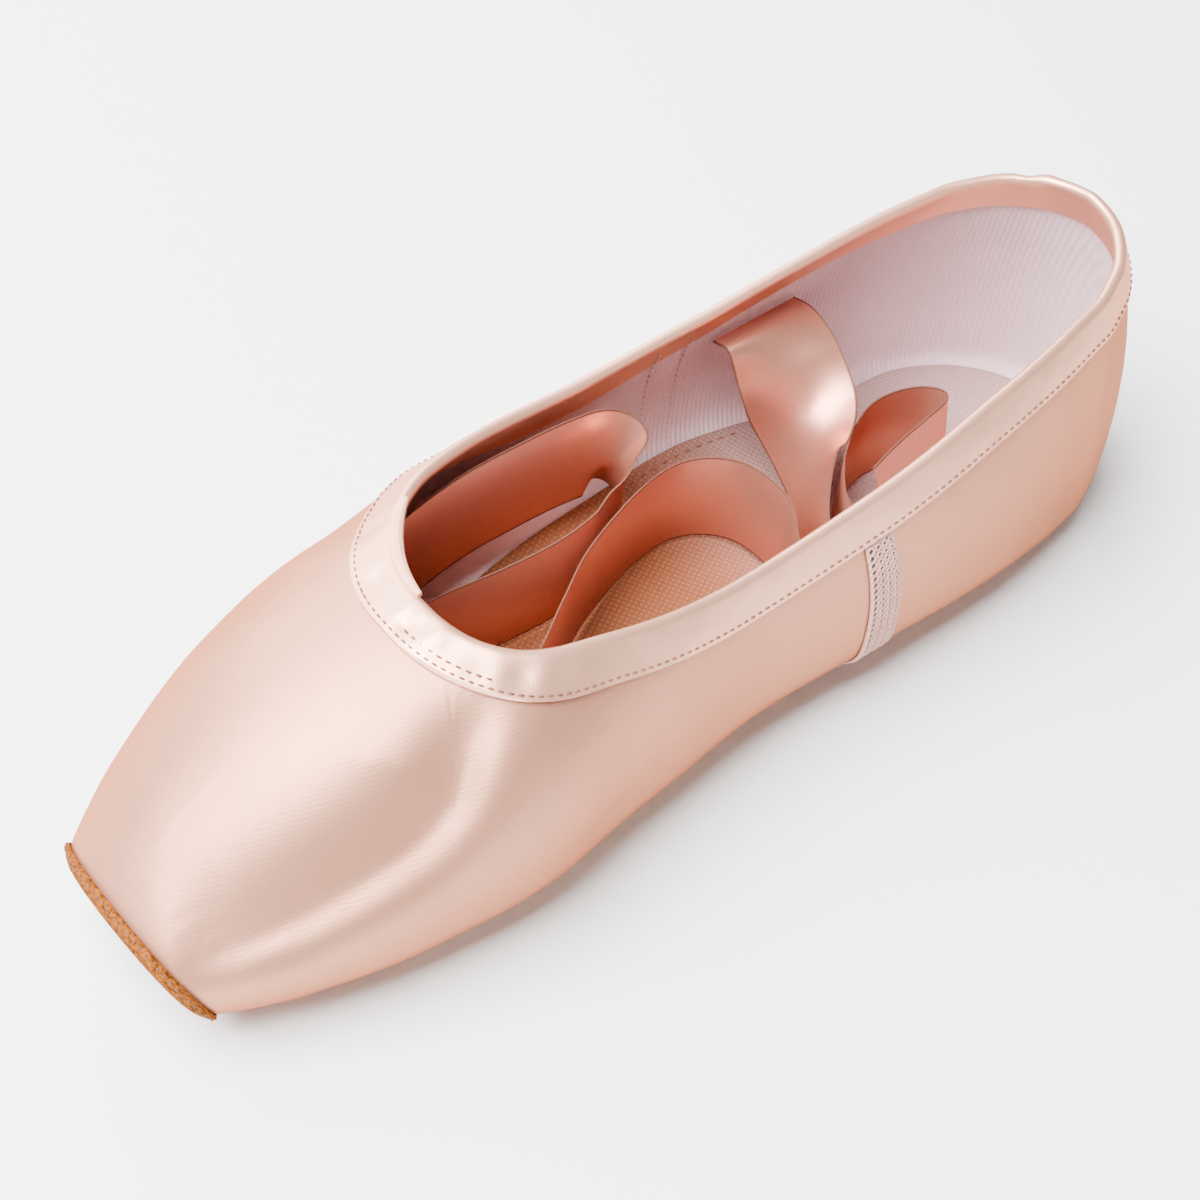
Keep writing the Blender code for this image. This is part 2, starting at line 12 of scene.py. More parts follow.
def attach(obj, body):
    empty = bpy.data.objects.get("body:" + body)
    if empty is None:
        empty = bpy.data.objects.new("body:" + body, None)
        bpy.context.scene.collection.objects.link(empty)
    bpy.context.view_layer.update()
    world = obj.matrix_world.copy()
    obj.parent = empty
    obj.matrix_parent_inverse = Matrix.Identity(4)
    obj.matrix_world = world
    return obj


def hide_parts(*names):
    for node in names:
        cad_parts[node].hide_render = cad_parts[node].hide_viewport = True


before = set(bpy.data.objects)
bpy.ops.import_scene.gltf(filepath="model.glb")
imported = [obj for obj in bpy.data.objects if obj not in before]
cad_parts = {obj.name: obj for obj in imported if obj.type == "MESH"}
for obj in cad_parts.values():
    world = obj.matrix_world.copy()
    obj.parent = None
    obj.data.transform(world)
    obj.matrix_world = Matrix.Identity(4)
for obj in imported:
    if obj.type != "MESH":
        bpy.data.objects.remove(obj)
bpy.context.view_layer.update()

bl_info = {
    "name": "Pointe Shoe",
    "version": (1, 0, 0),
    "blender": (4, 5, 0),
    "location": "View3D > Sidebar > Pointe Shoe",
    "description": "Builds a satin pointe shoe with its binding, ribbons, stitches and mesh strips",
    "category": "Object",
}

UP = np.array([0.0, 0.0, 1.0])
SIDES = (("right", 1), ("left", -1))

# Last: its length, the fan of sections round its heel, and its leaning toe platform
SHOE_LENGTH = 0.235
HEEL_RADIUS = 0.029
HEEL_CENTRE = SHOE_LENGTH - HEEL_RADIUS
FAN_LENGTH = 0.04
PATH_END = HEEL_CENTRE + FAN_LENGTH
EDGE_ROUND = 0.003
PLATFORM_LEAN = math.tan(math.radians(25.0))
PLATFORM_PIVOT = 0.016
PATCH_REACH = 0.0024
LEAN_FADE = 0.06
ORIGIN_STATION = 0.1156
# Path, half width, bottom, widest level, crown, upper and lower roundness
LAST = (
    (0.0, 0.0196, 0.0073, 0.012, 0.0228, 2.2, 3.2),
    (0.018, 0.0278, 0.0058, 0.016, 0.035, 2.1, 3.4),
    (0.04, 0.0345, 0.004, 0.02, 0.047, 2.1, 3.4),
    (0.062, 0.0376, 0.0028, 0.023, 0.0545, 2.1, 3.4),
    (0.092, 0.0352, 0.0028, 0.024, 0.0615, 2.1, 3.4),
    (0.12, 0.0331, 0.0056, 0.0225, 0.0663, 2.1, 3.4),
    (0.148, 0.0342, 0.0062, 0.0215, 0.067, 2.1, 3.4),
    (0.164, 0.0345, 0.0048, 0.0208, 0.0686, 2.1, 3.4),
    (0.178, 0.0341, 0.0034, 0.0196, 0.0706, 2.1, 3.4),
    (0.192, 0.0325, 0.0028, 0.018, 0.0738, 2.1, 3.8),
    (0.206, 0.0298, 0.0028, 0.015, 0.0766, 2.1, 4.6),
    (0.216, 0.028, 0.0028, 0.0137, 0.0782, 2.1, 4.6),
    (0.226, 0.0278, 0.0028, 0.0135, 0.0795, 2.1, 4.6),
    (0.236, 0.0286, 0.0028, 0.0135, 0.08, 2.1, 4.6),
    (PATH_END, HEEL_RADIUS, 0.0028, 0.0135, 0.0805, 2.1, 4.6),
)

# Sideways swing: station, shift at the floor, shift at the collar
SWING = (
    (0.0, 0.0025, 0.002),
    (0.04, 0.0008, 0.0),
    (0.064, 0.0, 0.0012),
    (0.084, 0.0, -0.0014),
    (0.11, 0.0, -0.0018),
    (0.16, 0.0, 0.0),
    (0.206, 0.0003, 0.0006),
    (0.235, 0.0008, 0.0016),
)
SWING_HEIGHT = 0.048

# Collar: path, height
COLLAR = (
    (0.06, 0.0482), (0.085, 0.05), (0.115, 0.0478), (0.145, 0.0505),
    (0.175, 0.0555), (0.206, 0.06), (PATH_END, 0.0638),
)
THROAT = 0.0618
THROAT_ROUND = 0.0389
THROAT_POWER = 2.5
COLLAR_BUNCHING = 0.22

# Outsole: path, half width
SOLE = (
    (0.026, 0.02), (0.05, 0.0265), (0.075, 0.0285), (0.105, 0.0235),
    (0.14, 0.016), (0.17, 0.0175), (0.195, 0.0205), (0.206, 0.021),
    (PATH_END, 0.0215),
)
# Opening of the upper under the foot
OPENING_START = 0.034
OPENING_MARGIN = 0.008
OPENING_HEEL = 0.012
OPENING_TIP = 0.016
OPENING_BUNCHING = 0.5
COLUMN_SWEEP = 1.6

# Wall, outsole and insole
WALL = 0.002
GAP = 0.0003
SOLE_THICKNESS = 0.0025
SOLE_START = 0.026
SOLE_TIP_ROUND = 0.016
SOLE_FLAT = 0.85
SOLE_EDGE_RISE = 0.0006
SOLE_EDGE_BULGE = 0.0003
INSOLE_THICKNESS = 0.0018
INSOLE_START = 0.016
INSOLE_TIP_ROUND = 0.014
INSOLE_CLEARANCE = 0.0014
INSOLE_SEAT = 0.0008
# Path at which the insole's stitches end, and their inset from its edge
INSOLE_STITCHED = 0.165
INSOLE_INSET = 0.0022

# Insole: path, how far its edge climbs the wall
INSOLE_CUP = (
    (0.016, 0.0026), (0.08, 0.003), (0.11, 0.0055), (0.14, 0.006),
    (0.165, 0.0045), (0.19, 0.0022), (PATH_END, 0.0012),
)

# Binding: how far its tape reaches down each side of the collar, and how thick it stands there
BINDING_OUTSIDE = 0.0072
BINDING_INSIDE = 0.008
BINDING_OUTER = 0.0009
BINDING_INNER = 0.0005
BINDING_RIM = 0.0012
TAPE_RIPPLE = 0.00016
# Share of the wall that is left at the collar, and the depth at which all of it is there
COLLAR_THINNING = 0.5
THINNING_DEPTH = 0.016

# Creases of the satin: path, angle in degrees, height, reach towards the crown and away from it
WING_TROUGH = (
    (0.003, 122.0, 0.0, 0.013, 0.005),
    (0.011, 119.0, -0.0023, 0.0135, 0.0052),
    (0.0234, 115.8, -0.0033, 0.0135, 0.0056),
    (0.0384, 117.2, -0.0033, 0.0125, 0.0056),
    (0.0476, 122.9, -0.0028, 0.0095, 0.005),
    (0.0549, 137.0, -0.0018, 0.0065, 0.0042),
    (0.061, 149.0, 0.0, 0.005, 0.004),
)
WING_RIDGE = (
    (0.003, 111.5, 0.0, 0.0045, 0.014),
    (0.012, 110.0, 0.0007, 0.0048, 0.016),
    (0.0321, 107.5, 0.001, 0.0054, 0.018),
    (0.0438, 110.5, 0.001, 0.0052, 0.016),
    (0.054, 122.0, 0.0007, 0.0046, 0.012),
    (0.064, 138.5, 0.0, 0.004, 0.008),
)
# Share of these creases on the left
LEFT_SHARE = 0.12
# Pleats under the toe and the seam down the heel
PLEAT_COUNT = 9
PLEAT_DEPTH = 0.0005
PLEAT_START = 0.004
PLEAT_END = 0.03
PLEAT_ANGLE = math.radians(62)
SEAM_WIDTH = 0.0005
SEAM_DEPTH = 0.0003

# Dents and puffs of the tape: fraction of the collar (left if negative), depth, reach, shift out
TAPE_PRESSES = (
    (0.15, 0.003, 0.0036, -0.0005),
    (0.1, 0.002, 0.003, -0.0003),
    (-0.06, 0.004, 0.003, -0.0004),
    (-0.11, 0.003, 0.0034, 0.0004),
    (0.01, 0.004, 0.0016, -0.0005),
    (0.05, 0.0016, 0.0026, 0.0004),
    (-0.925, 0.0004, 0.0022, -0.0006),
    (-0.945, 0.0004, 0.002, 0.0005),
)
# Stitches of the tape: height above its lower edge, ends on the collar, points along the line
TAPE_STITCHES = (
    ("collar_stitches", 0.0009, (-1.0, 1.0), 800),
    ("second_stitches", 0.0024, (0.012, 0.13), 120),
)
# Piped fold and rolled lip of the tape: depth, outward, ends, radius
TAPE_TUBES = (
    ("tape_piping", BINDING_OUTSIDE - 0.0001, 0.0006, (0.005, 0.17), 0.00042),
    ("tape_lip", -0.0012, 0.0005, (-0.2, -0.015), 0.0013),
)

# Mesh strips
MESH_FRONT = 0.1403
MESH_WIDTH = 0.0083
MESH_SLANT = -0.002
MESH_BOW = 0.0012
MESH_OUTWARD = 0.0001
MESH_THICKNESS = 0.0003
MESH_FACE = MESH_OUTWARD + MESH_THICKNESS
# Rows of holes: share of the strip's width, radius; and the first and last of the line's points
MESH_HOLES = ((0.13, 0.00078), (0.4, 0.00056), (0.64, 0.0005), (0.87, 0.00044))
HOLE_SPAN = (8, 191)
MESH_PIPING = 0.0002
MESH_LOW_ANGLE = math.radians(64.0)
INNER_SEAM_TOP = math.radians(132)
INNER_SEAM_POINTS = 120

# Suede tip, and the sheets of tape, insole fabric and ribbon
TIP_THICKNESS = 0.0007
TIP_OUTWARD = GAP + TIP_THICKNESS
FABRIC_THICKNESS = 0.0006
RIBBON_THICKNESS = 0.0003

# Stitches unlike the shoe's others: pitch, length, width
TIP_STITCH = (0.0015, 0.0007, 0.0005)
INSOLE_STITCH = (0.003, 0.0017, 0.0004)
STITCH_DIP = 1.2

# Meshes: columns and rows of faces, points of a line, and how near points are joined
EDGE_COLUMNS = 5
TOE_COLUMNS = 40
COLLAR_COLUMNS = 130
UPPER_GRID = (1 + EDGE_COLUMNS + TOE_COLUMNS + COLLAR_COLUMNS, 76)
TIP_GRID = (14, 90)
TAPE_GRID = (260, 26)
KNIT_GRID = (10, 90)
INSOLE_GRID = (150, 24)
SOLE_GRID = (120, 40)
RIBBON_PIECES = 12
LINE_POINTS = 200
MIRROR_MERGE = 0.00002
WELD_DISTANCE = 0.000002

SATIN_TINT = (0.8, 0.42, 0.28)

# Ribbon routes along the middle of the band: x, y, z in millimetres, lean in degrees
RIBBON_FAR = (
    (-28.6, 51, 40.6, -90), (-23.5, 51, 41.3, -88), (-17.5, 50.6, 37, -72),
    (-10, 49.8, 29, -48), (-3, 46.5, 24.3, -25), (2.5, 42, 23, -12),
    (10.5, 35, 22.8, -4), (17, 30.2, 23.5, 0), (21, 30, 24, 0),
    (22, 33.3, 24, 0), (18.5, 35.8, 23.6, 0), (12.5, 38.5, 22.8, 0),
    (7, 43.2, 22.8, 0), (3.2, 48, 22.5, 0), (0.5, 52.5, 22.2, 0),
    (-2, 58, 21.8, 0), (-3, 63.5, 21.2, 0), (-2.4, 68.8, 20.9, 0),
    (-0.2, 73.5, 20.7, 0), (3.2, 76, 20.8, 2), (6.6, 74.4, 21.1, 8),
    (9.5, 67.2, 21.7, 16), (12.2, 58, 22.5, 22), (15, 48.5, 23.2, 24),
)
RIBBON_NEAR = (
    (29.6, 52, 31.6, 7), (28.8, 42, 29.3, 6), (26.2, 32, 26.7, 3),
    (22.2, 25, 24.9, 0), (16.5, 22.8, 23.6, 0), (7.6, 28.2, 23.5, 0),
    (-4.1, 27.6, 23.5, 0), (-11.2, 19.9, 23.3, 0), (-11.6, 8.8, 22.8, 0),
    (-6.6, -8.4, 21.6, 0), (0, -20.5, 20.8, 0), (6.1, -30.8, 20.3, 0),
    (11.5, -44, 20.1, 0), (11.5, -56, 19.9, 0), (4, -63, 19.8, 0),
    (-6, -60, 19.8, 0), (-12, -50, 19.9, 0), (-14.5, -39.6, 20.1, 0),
    (-12.4, -24, 20.6, 0), (-11.5, -12, 21, 0), (-12, -3.4, 22.1, 0),
    (-13.7, 2.2, 23.6, 0), (-16, 7, 25.8, 0), (-19, 10, 28.4, 1),
    (-22.2, 10.8, 30.6, 2), (-24.5, 7.8, 32.2, 2), (-25.4, 1, 33, 2),
    (-25.9, -10, 33.2, 2), (-26.1, -24, 32.8, 2), (-25, -38, 30.8, 2),
    (-22.8, -50, 27.2, 0),
)

# Camera: place, roll and lens worked out from the photograph
CAMERA_AZIMUTH = 45.5
CAMERA_ELEVATION = 49.5
CAMERA_ROLL = 6.2
CAMERA_DISTANCE = 0.43
CAMERA_TARGET = (0.0, 0.0, 0.025)
CAMERA_SHIFT = (-0.00854, -0.00488)
CAMERA_LENS = 68.87

# Lights: name, place, size, power
LIGHTS = (
    ("key", (-0.12, -0.42, 0.9), 0.8, 72.0),
    ("left", (-0.95, 0.1, 0.62), 1.0, 32.0),
    ("front", (0.3, -0.95, 0.3), 0.5, 2.0),
    ("side", (1.0, 0.25, 0.22), 0.5, 1.5),
)

# Brightness of the studio surroundings: height of the direction, level
WORLD_LEVELS = ((0.0, 0.66), (0.28, 0.42), (0.55, 0.15), (1.0, 0.12))


def length_property(name, description, value):
    return FloatProperty(name=name, description=description, default=value, unit="LENGTH")


def color_property(name, value):
    looks = {"name": name, "description": name + " color", "default": value}
    return FloatVectorProperty(subtype="COLOR", size=3, min=0, max=1, **looks)


class ShoeSizes(bpy.types.PropertyGroup):
    """Sizes that a user would change."""

    stitch_pitch: length_property("Stitch pitch", "Distance from stitch to stitch", 0.0017)
    stitch_length: length_property("Stitch length", "Length of one stitch", 0.0012)
    stitch_width: length_property("Thread width", "Width of the thread", 0.0004)
    ribbon_width: length_property("Ribbon width", "Width of the satin ribbon", 0.022)
    twill_pitch: length_property("Twill pitch", "Distance between the satin's twill lines", 0.0008)
    pinhole_pitch: length_property("Pinhole pitch", "Distance between the knit's holes", 0.0016)
    dot_pitch: length_property("Dot pitch", "Distance between the insole fabric's dots", 0.0012)


class ShoeColors(bpy.types.PropertyGroup):
    """Colors of the shoe's materials."""

    satin: color_property("Satin", (0.49, 0.23, 0.15))
    # Painted shade that the satin takes where it is seen at a glancing angle
    satin_glancing_shade: color_property("Satin edge", (0.34, 0.085, 0.015))
    lining: color_property("Lining", (0.62, 0.44, 0.47))
    binding: color_property("Binding", (0.76, 0.39, 0.27))
    ribbon: color_property("Ribbon", (0.64, 0.27, 0.19))
    suede: color_property("Suede", (0.21, 0.062, 0.008))
    sole: color_property("Sole", (0.48, 0.32, 0.20))
    insole: color_property("Insole", (0.22, 0.072, 0.030))
    insole_heel: color_property("Insole at the heel", (0.40, 0.26, 0.25))
    knit: color_property("Knit", (0.42, 0.22, 0.185))
    piping: color_property("Piping", (0.46, 0.25, 0.19))
    thread: color_property("Thread", (0.15, 0.045, 0.025))
    floor: color_property("Floor", (0.86, 0.86, 0.86))


def sizes():
    return bpy.context.scene.shoe_sizes


def colors():
    return bpy.context.scene.shoe_colors


# The last as a function of path and angle


def share_of(value, start, length):
    """How far a value has come from a start over a length, from 0 to 1."""
    return np.clip((value - start) / length, 0, 1)


def table_at(rows, where):
    """Columns of a table at places between its rows, on curves that never overshoot them."""
    table = np.array(rows, float)
    place, level = table[:, 0], table[:, 1:]
    rise = np.diff(level, axis=0) / np.diff(place)[:, None]
    slope = np.zeros_like(level)
    product, total = rise[:-1] * rise[1:], rise[:-1] + rise[1:]
    slope[1:-1] = np.where(product > 0, 2 * product / np.where(total == 0, 1, total), 0)
    slope[0], slope[-1] = rise[0], rise[-1]
    where = np.asarray(where, float)
    first = np.clip(np.searchsorted(place, where, side="right") - 1, 0, len(place) - 2)
    span = (place[first + 1] - place[first])[..., None]
    t = np.clip((where - place[first])[..., None] / span, 0, 1)
    here, there = level[first], level[first + 1]
    curve = here + (there - here) * t * t * (3 - 2 * t)
    curve += slope[first] * span * t * (1 - t) ** 2 - slope[first + 1] * span * t * t * (1 - t)
    return np.moveaxis(curve, -1, 0)


def along_last(path):
    """Station, turn round the heel, and inset of the rounded platform edge."""
    lean_in = share_of(path, 0, EDGE_ROUND) * math.pi / 2
    rounded = EDGE_ROUND * (1 - np.cos(lean_in))
    station = np.where(path < EDGE_ROUND, rounded, np.minimum(path, HEEL_CENTRE))
    turn = np.maximum(0, path - HEEL_CENTRE) / FAN_LENGTH * math.pi / 2
    return station, turn, EDGE_ROUND * (1 - np.sin(lean_in))


def section_at(path):
    """Half width, bottom, widest level, crown, and the two roundnesses of the last's section."""
    station, turn, inset = along_last(path)
    row = np.where(turn > 0, np.minimum(path, 2 * PATH_END - path), station)
    half, bottom, widest, crown, upper, lower = table_at(LAST, row)
    return half - inset, bottom + inset, widest, crown - inset, upper, lower


def place(path, across, height):
    """Points at a distance across from the path, leaning forward over the platform."""
    station, turn, _ = along_last(path)
    fade = np.maximum(0, 1 - station / LEAN_FADE) ** 2
    lean = PLATFORM_LEAN * (height - PLATFORM_PIVOT) * fade
    y = station + across * np.sin(turn) - lean - ORIGIN_STATION
    return np.stack([across * np.cos(turn), y, height + 0 * across], axis=-1)


def last_points(path, angle):
    """Points on the last's surface: angle 0 is under the foot and pi on top."""
    half, bottom, widest, crown, upper, lower = section_at(path)
    side, lift = np.sin(angle), -np.cos(angle)
    reach = np.where(lift > 0, crown - widest, widest - bottom)
    power = np.where(lift > 0, upper, lower)
    ray = (np.abs(side / half) ** power + np.abs(lift / reach) ** power) ** (-1 / power)
    return place(path, ray * side, widest + ray * lift)


def slopes(path, angle):
    """How the last's surface runs along the path and round with the angle."""
    step, turn = 0.0002, 0.004
    along = (last_points(path + step, angle) - last_points(path - step, angle)) / (2 * step)
    around = (last_points(path, angle + turn) - last_points(path, angle - turn)) / (2 * turn)
    return along, around


def unit(vectors):
    return vectors / np.maximum(np.linalg.norm(vectors, axis=-1, keepdims=True), 1e-12)


def on_side(vectors, side):
    """Vectors as they are where side is 1, and mirrored where it is -1."""
    vectors = vectors.copy()
    vectors[..., 0] *= side
    return vectors


def normals_at(path, angle):
    return unit(np.cross(*slopes(path, angle)))


def skin(path, angle, outward=0.0):
    """Points a distance outward from the last, or inward if negative."""
    path, angle = np.broadcast_arrays(np.asarray(path, float), np.asarray(angle, float))
    return last_points(path, angle) + normals_at(path, angle) * np.asarray(outward)[..., None]


def walk(path, angle, direction, distance, strides=3):
    """Path and angle reached by going a distance over the surface in a direction."""
    for _ in range(strides):
        along, around = slopes(path, angle)
        normal = unit(np.cross(along, around))
        heading = unit(direction - normal * (direction * normal).sum(-1, keepdims=True))
        aa, bb = (along * along).sum(-1), (around * around).sum(-1)
        ab = (along * around).sum(-1)
        ahead, aside = (along * heading).sum(-1), (around * heading).sum(-1)
        spread = (aa * bb - ab * ab) / (distance / strides + 1e-12)
        path = path + (ahead * bb - aside * ab) / spread
        angle = angle + (aside * aa - ahead * ab) / spread
    return path, angle


def bunched(fraction, bunching, power=2.0):
    """A fraction from 0 to 1, drawn towards 0 where the shape turns fastest."""
    part = np.abs(fraction)
    return part ** power * (1 + bunching) / (part ** (power - 1) + bunching)


def collar_place(fraction):
    """Path and angle of the collar's edge, from 0 at the throat to 1 at the back of the heel."""
    path = THROAT + (PATH_END - THROAT) * bunched(fraction, COLLAR_BUNCHING, THROAT_POWER)
    row = np.minimum(path, 2 * PATH_END - path)
    half, _, widest, crown, upper, _ = section_at(row)
    height = table_at(COLLAR, row)[0]
    across = half * (1 - ((height - widest) / (crown - widest)) ** upper) ** (1 / upper)
    level = math.pi / 2 + np.arctan2(height - widest, across)
    beyond = share_of(path, THROAT, THROAT_ROUND)
    opened = (math.pi - level) * (1 - (1 - beyond) ** THROAT_POWER) ** (1 / THROAT_POWER)
    return path, math.pi - np.copysign(opened, fraction)


def opening_place(fraction):
    """Path and angle of the edge of the opening under the foot."""
    path = OPENING_START + (PATH_END - OPENING_START) * bunched(fraction, OPENING_BUNCHING)
    half = table_at(SOLE, path)[0] - OPENING_MARGIN
    half = np.where(path > HEEL_CENTRE, np.minimum(half, OPENING_HEEL), half)
    half = half * np.sin(share_of(path, OPENING_START, OPENING_TIP) * math.pi / 2)
    _, bottom, widest, _, _, _ = section_at(path)
    return path, np.arctan2(half, widest - bottom)


def swung(points):
    """Points moved sideways where the shoe swings off its centre plane."""
    floor, collar = table_at(SWING, points[..., 1] + ORIGIN_STATION)
    points = points.copy()
    points[..., 0] += floor + (collar - floor) * points[..., 2] / SWING_HEIGHT
    return points


# Modelling helpers


def select_only(obj=None):
    """Leave edit mode and select one object, or none."""
    if bpy.context.mode != "OBJECT":
        bpy.ops.object.mode_set(mode="OBJECT")
    bpy.ops.object.select_all(action="DESELECT")
    if obj:
        obj.select_set(True)
        bpy.context.view_layer.objects.active = obj


def read_points(obj):
    flat = np.empty(len(obj.data.vertices) * 3)
    obj.data.vertices.foreach_get("co", flat)
    return flat.reshape(-1, 3)


def write_points(obj, points):
    obj.data.vertices.foreach_set("co", np.asarray(points, float).ravel())
    obj.data.update()


def primitive(kind, **settings):
    """A new mesh object made by one of Blender's primitives."""
    select_only()
    getattr(bpy.ops.mesh, f"primitive_{kind}_add")(**settings)
    return bpy.context.object


def grid_piece(name, grid, shape):
    """A primitive grid bent over shape(u, v), with u and v from 0 to 1 kept as its UV map."""
    obj = primitive("grid", x_subdivisions=grid[0], y_subdivisions=grid[1], size=1)
    obj.name = obj.data.name = name
    flat = read_points(obj) + 0.5
    write_points(obj, shape(flat[:, 0], flat[:, 1]))
    return obj


def apply(obj, kind, **settings):
    """Add a modifier and apply it."""
    bpy.context.view_layer.objects.active = obj
    modifier = obj.modifiers.new(kind.title(), kind)
    for key, value in settings.items():
        setattr(modifier, key, value)
    bpy.ops.object.modifier_apply(modifier=modifier.name)


def smooth(obj, degrees=50):
    select_only(obj)
    bpy.ops.object.shade_smooth_by_angle(angle=math.radians(degrees))


def thicken(obj, thickness, offset=-1.0, degrees=50, **settings):
    """Give a sheet its thickness, inward unless an offset is given, and smooth its shading."""
    apply(obj, "SOLIDIFY", thickness=thickness, offset=offset, **settings)
    smooth(obj, degrees)


def nearest(points, line):
    """Index of the nearest point of a line to each point, and its distance."""
    tree = KDTree(len(line))
    for index, point in enumerate(line):
        tree.insert(point, index)
    tree.balance()
    found = [tree.find(point)[1:] for point in points]
    return np.array([hit[0] for hit in found]), np.array([hit[1] for hit in found])


def press(obj, centre, reach, shift):
    """Move the points round a place, most at the place itself."""
    points = read_points(obj)
    away = np.linalg.norm((points - centre) / reach, axis=1)
    write_points(obj, points + np.array(shift) * np.exp(-away ** 2)[:, None])


def both_sides(obj, creases=()):
    """The other half of a piece, its creases, and the shoe's swing."""
    apply(obj, "MIRROR", merge_threshold=MIRROR_MERGE)
    for rows in creases:
        crease(obj, rows)
    write_points(obj, swung(read_points(obj)))


def hand_over(obj, material, node=None):
    """Give a piece its material, its body and the node it stands for."""
    if material:
        obj.data.materials.append(material)
    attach(obj, "root")
    if node:
        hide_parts(node)


def copies(name, seed, frames):
    """One mesh of a seed piece repeated at frames, each an origin and three scaled axes."""
    points = read_points(seed)
    faces = [tuple(face.vertices) for face in seed.data.polygons]
    bpy.data.objects.remove(seed)
    made, joined = [], []
    for i, (origin, axes) in enumerate(frames):
        made.append(points @ axes + origin)
        joined += [tuple(v + i * len(points) for v in face) for face in faces]
    mesh = bpy.data.meshes.new(name)
    mesh.from_pydata(np.concatenate(made).tolist(), [], joined)
    obj = bpy.data.objects.new(name, mesh)
    bpy.context.scene.collection.objects.link(obj)
    return obj


def stitch_seed():
    """One stitch, 1 long, wide and high along X, Y and Z, its ends dipping into the cloth."""
    seed = primitive("uv_sphere", segments=8, ring_count=6, radius=0.5)
    points = read_points(seed)
    points[:, 2] -= STITCH_DIP * points[:, 0] ** 2
    write_points(seed, points)
    return seed


def steps_along(points):
    return np.linalg.norm(np.diff(points, axis=0), axis=1)


def stitch_row(name, line, thread, stitch=None):
    """Stitches along a line of points, each turned with the line and standing on its normal."""
    shoe = sizes()
    pitch, length, width = stitch or (shoe.stitch_pitch, shoe.stitch_length, shoe.stitch_width)
    points, normals = line
    run = np.concatenate([[0], np.cumsum(steps_along(points))])
    count = int(run[-1] / pitch)
    at = (np.arange(count) + 0.5) * run[-1] / count

    def between(rows, where):
        return np.stack([np.interp(where, run, column) for column in rows.T], axis=1)

    centre = between(points, at)
    heading = unit(between(points, at + length / 2) - centre)
    heading[-1] = unit(centre[-1] - centre[-2])
    normal = unit(between(normals, at))
    aside = unit(np.cross(normal, heading))
    axes = np.stack([heading * length, aside * width, normal * width], axis=1)
    row = copies(name, stitch_seed(), zip(centre, axes))
    smooth(row, 80)
    hand_over(row, thread)


def tube(name, points, radius, sides=10):
    """A closed cord of one radius, or one radius for each point, swept along a smooth line."""
    radius = np.broadcast_to(radius, len(points))
    ahead = unit(np.gradient(points, axis=0))
    aside = unit(np.cross(ahead, UP))
    upright = np.cross(aside, ahead)
    last = len(points) - 1

    def shape(u, v):
        i = np.rint(u * last).astype(int)
        spin = 2 * math.pi * v
        out = aside[i] * np.cos(spin)[:, None] - upright[i] * np.sin(spin)[:, None]
        return points[i] + out * radius[i][:, None]

    obj = grid_piece(name, (last, sides), shape)
    weld(obj, close=True)
    return obj


def weld(obj, close=False):
    """Join the points that meet, and where asked close the ends and turn every face outward."""
    select_only(obj)
    bpy.ops.object.mode_set(mode="EDIT")
    bpy.ops.mesh.select_all(action="SELECT")
    bpy.ops.mesh.remove_doubles(threshold=WELD_DISTANCE)
    if close:
        bpy.ops.mesh.fill_holes(sides=0)
        bpy.ops.mesh.select_all(action="SELECT")
        bpy.ops.mesh.normals_make_consistent(inside=False)
    bpy.ops.object.mode_set(mode="OBJECT")


# Shader helpers


class Wire:
    """A node's output socket, with arithmetic."""

    def __init__(self, nodes, socket):
        self.nodes, self.socket = nodes, socket

    def math(self, operation, *others):
        return self.nodes.add("ShaderNodeMath", {"operation": operation}, self, *others)

    def __add__(self, other):
        return self.math("ADD", other)

    def __mul__(self, other):
        return self.math("MULTIPLY", other)

    def __sub__(self, other):
        return self.math("SUBTRACT", other)

    def __rsub__(self, other):
        return self.nodes.add("ShaderNodeMath", {"operation": "SUBTRACT"}, other, self)

    def __pow__(self, other):
        return self.math("POWER", other)

    def wave(self, pitch):
        """A sine that repeats at each pitch."""
        return (self * (2 * math.pi / pitch)).math("SINE")


class Nodes:
    """The nodes of a material or a world."""

    def __init__(self, tree):
        self.tree = tree

    def feed(self, socket, value):
        """Link a wire to a socket, or set the socket to a number or a color."""
        if isinstance(value, Wire):
            self.tree.links.new(value.socket, socket)
        else:
            socket.default_value = (*value, 1.0) if socket.type == "RGBA" else value

    def add(self, kind, settings=None, *inputs, out=0, **named):
        """Any node: its settings first, then the values or wires of its sockets."""
        node = self.tree.nodes.new(kind)
        for key, value in (settings or {}).items():
            setattr(node, key, value)
        for index, value in enumerate(inputs):
            self.feed(node.inputs[index], value)
        for key, value in named.items():
            self.feed(node.inputs[key.replace("_", " ")], value)
        return Wire(self, node.outputs[out])

    def parts(self, vector):
        """X, Y and Z of a vector."""
        split = self.add("ShaderNodeSeparateXYZ", {}, vector).socket.node
        return [Wire(self, socket) for socket in split.outputs]

    def ramp(self, value, *stops):
        """Colors at positions, and the colors between them."""
        wire = self.add("ShaderNodeValToRGB", {}, value)
        marks = wire.socket.node.color_ramp.elements
        while len(marks) < len(stops):
            marks.new(0.5)
        for mark, (position, color) in zip(marks, stops):
            mark.position, mark.color = position, (*color, 1.0)
        return wire


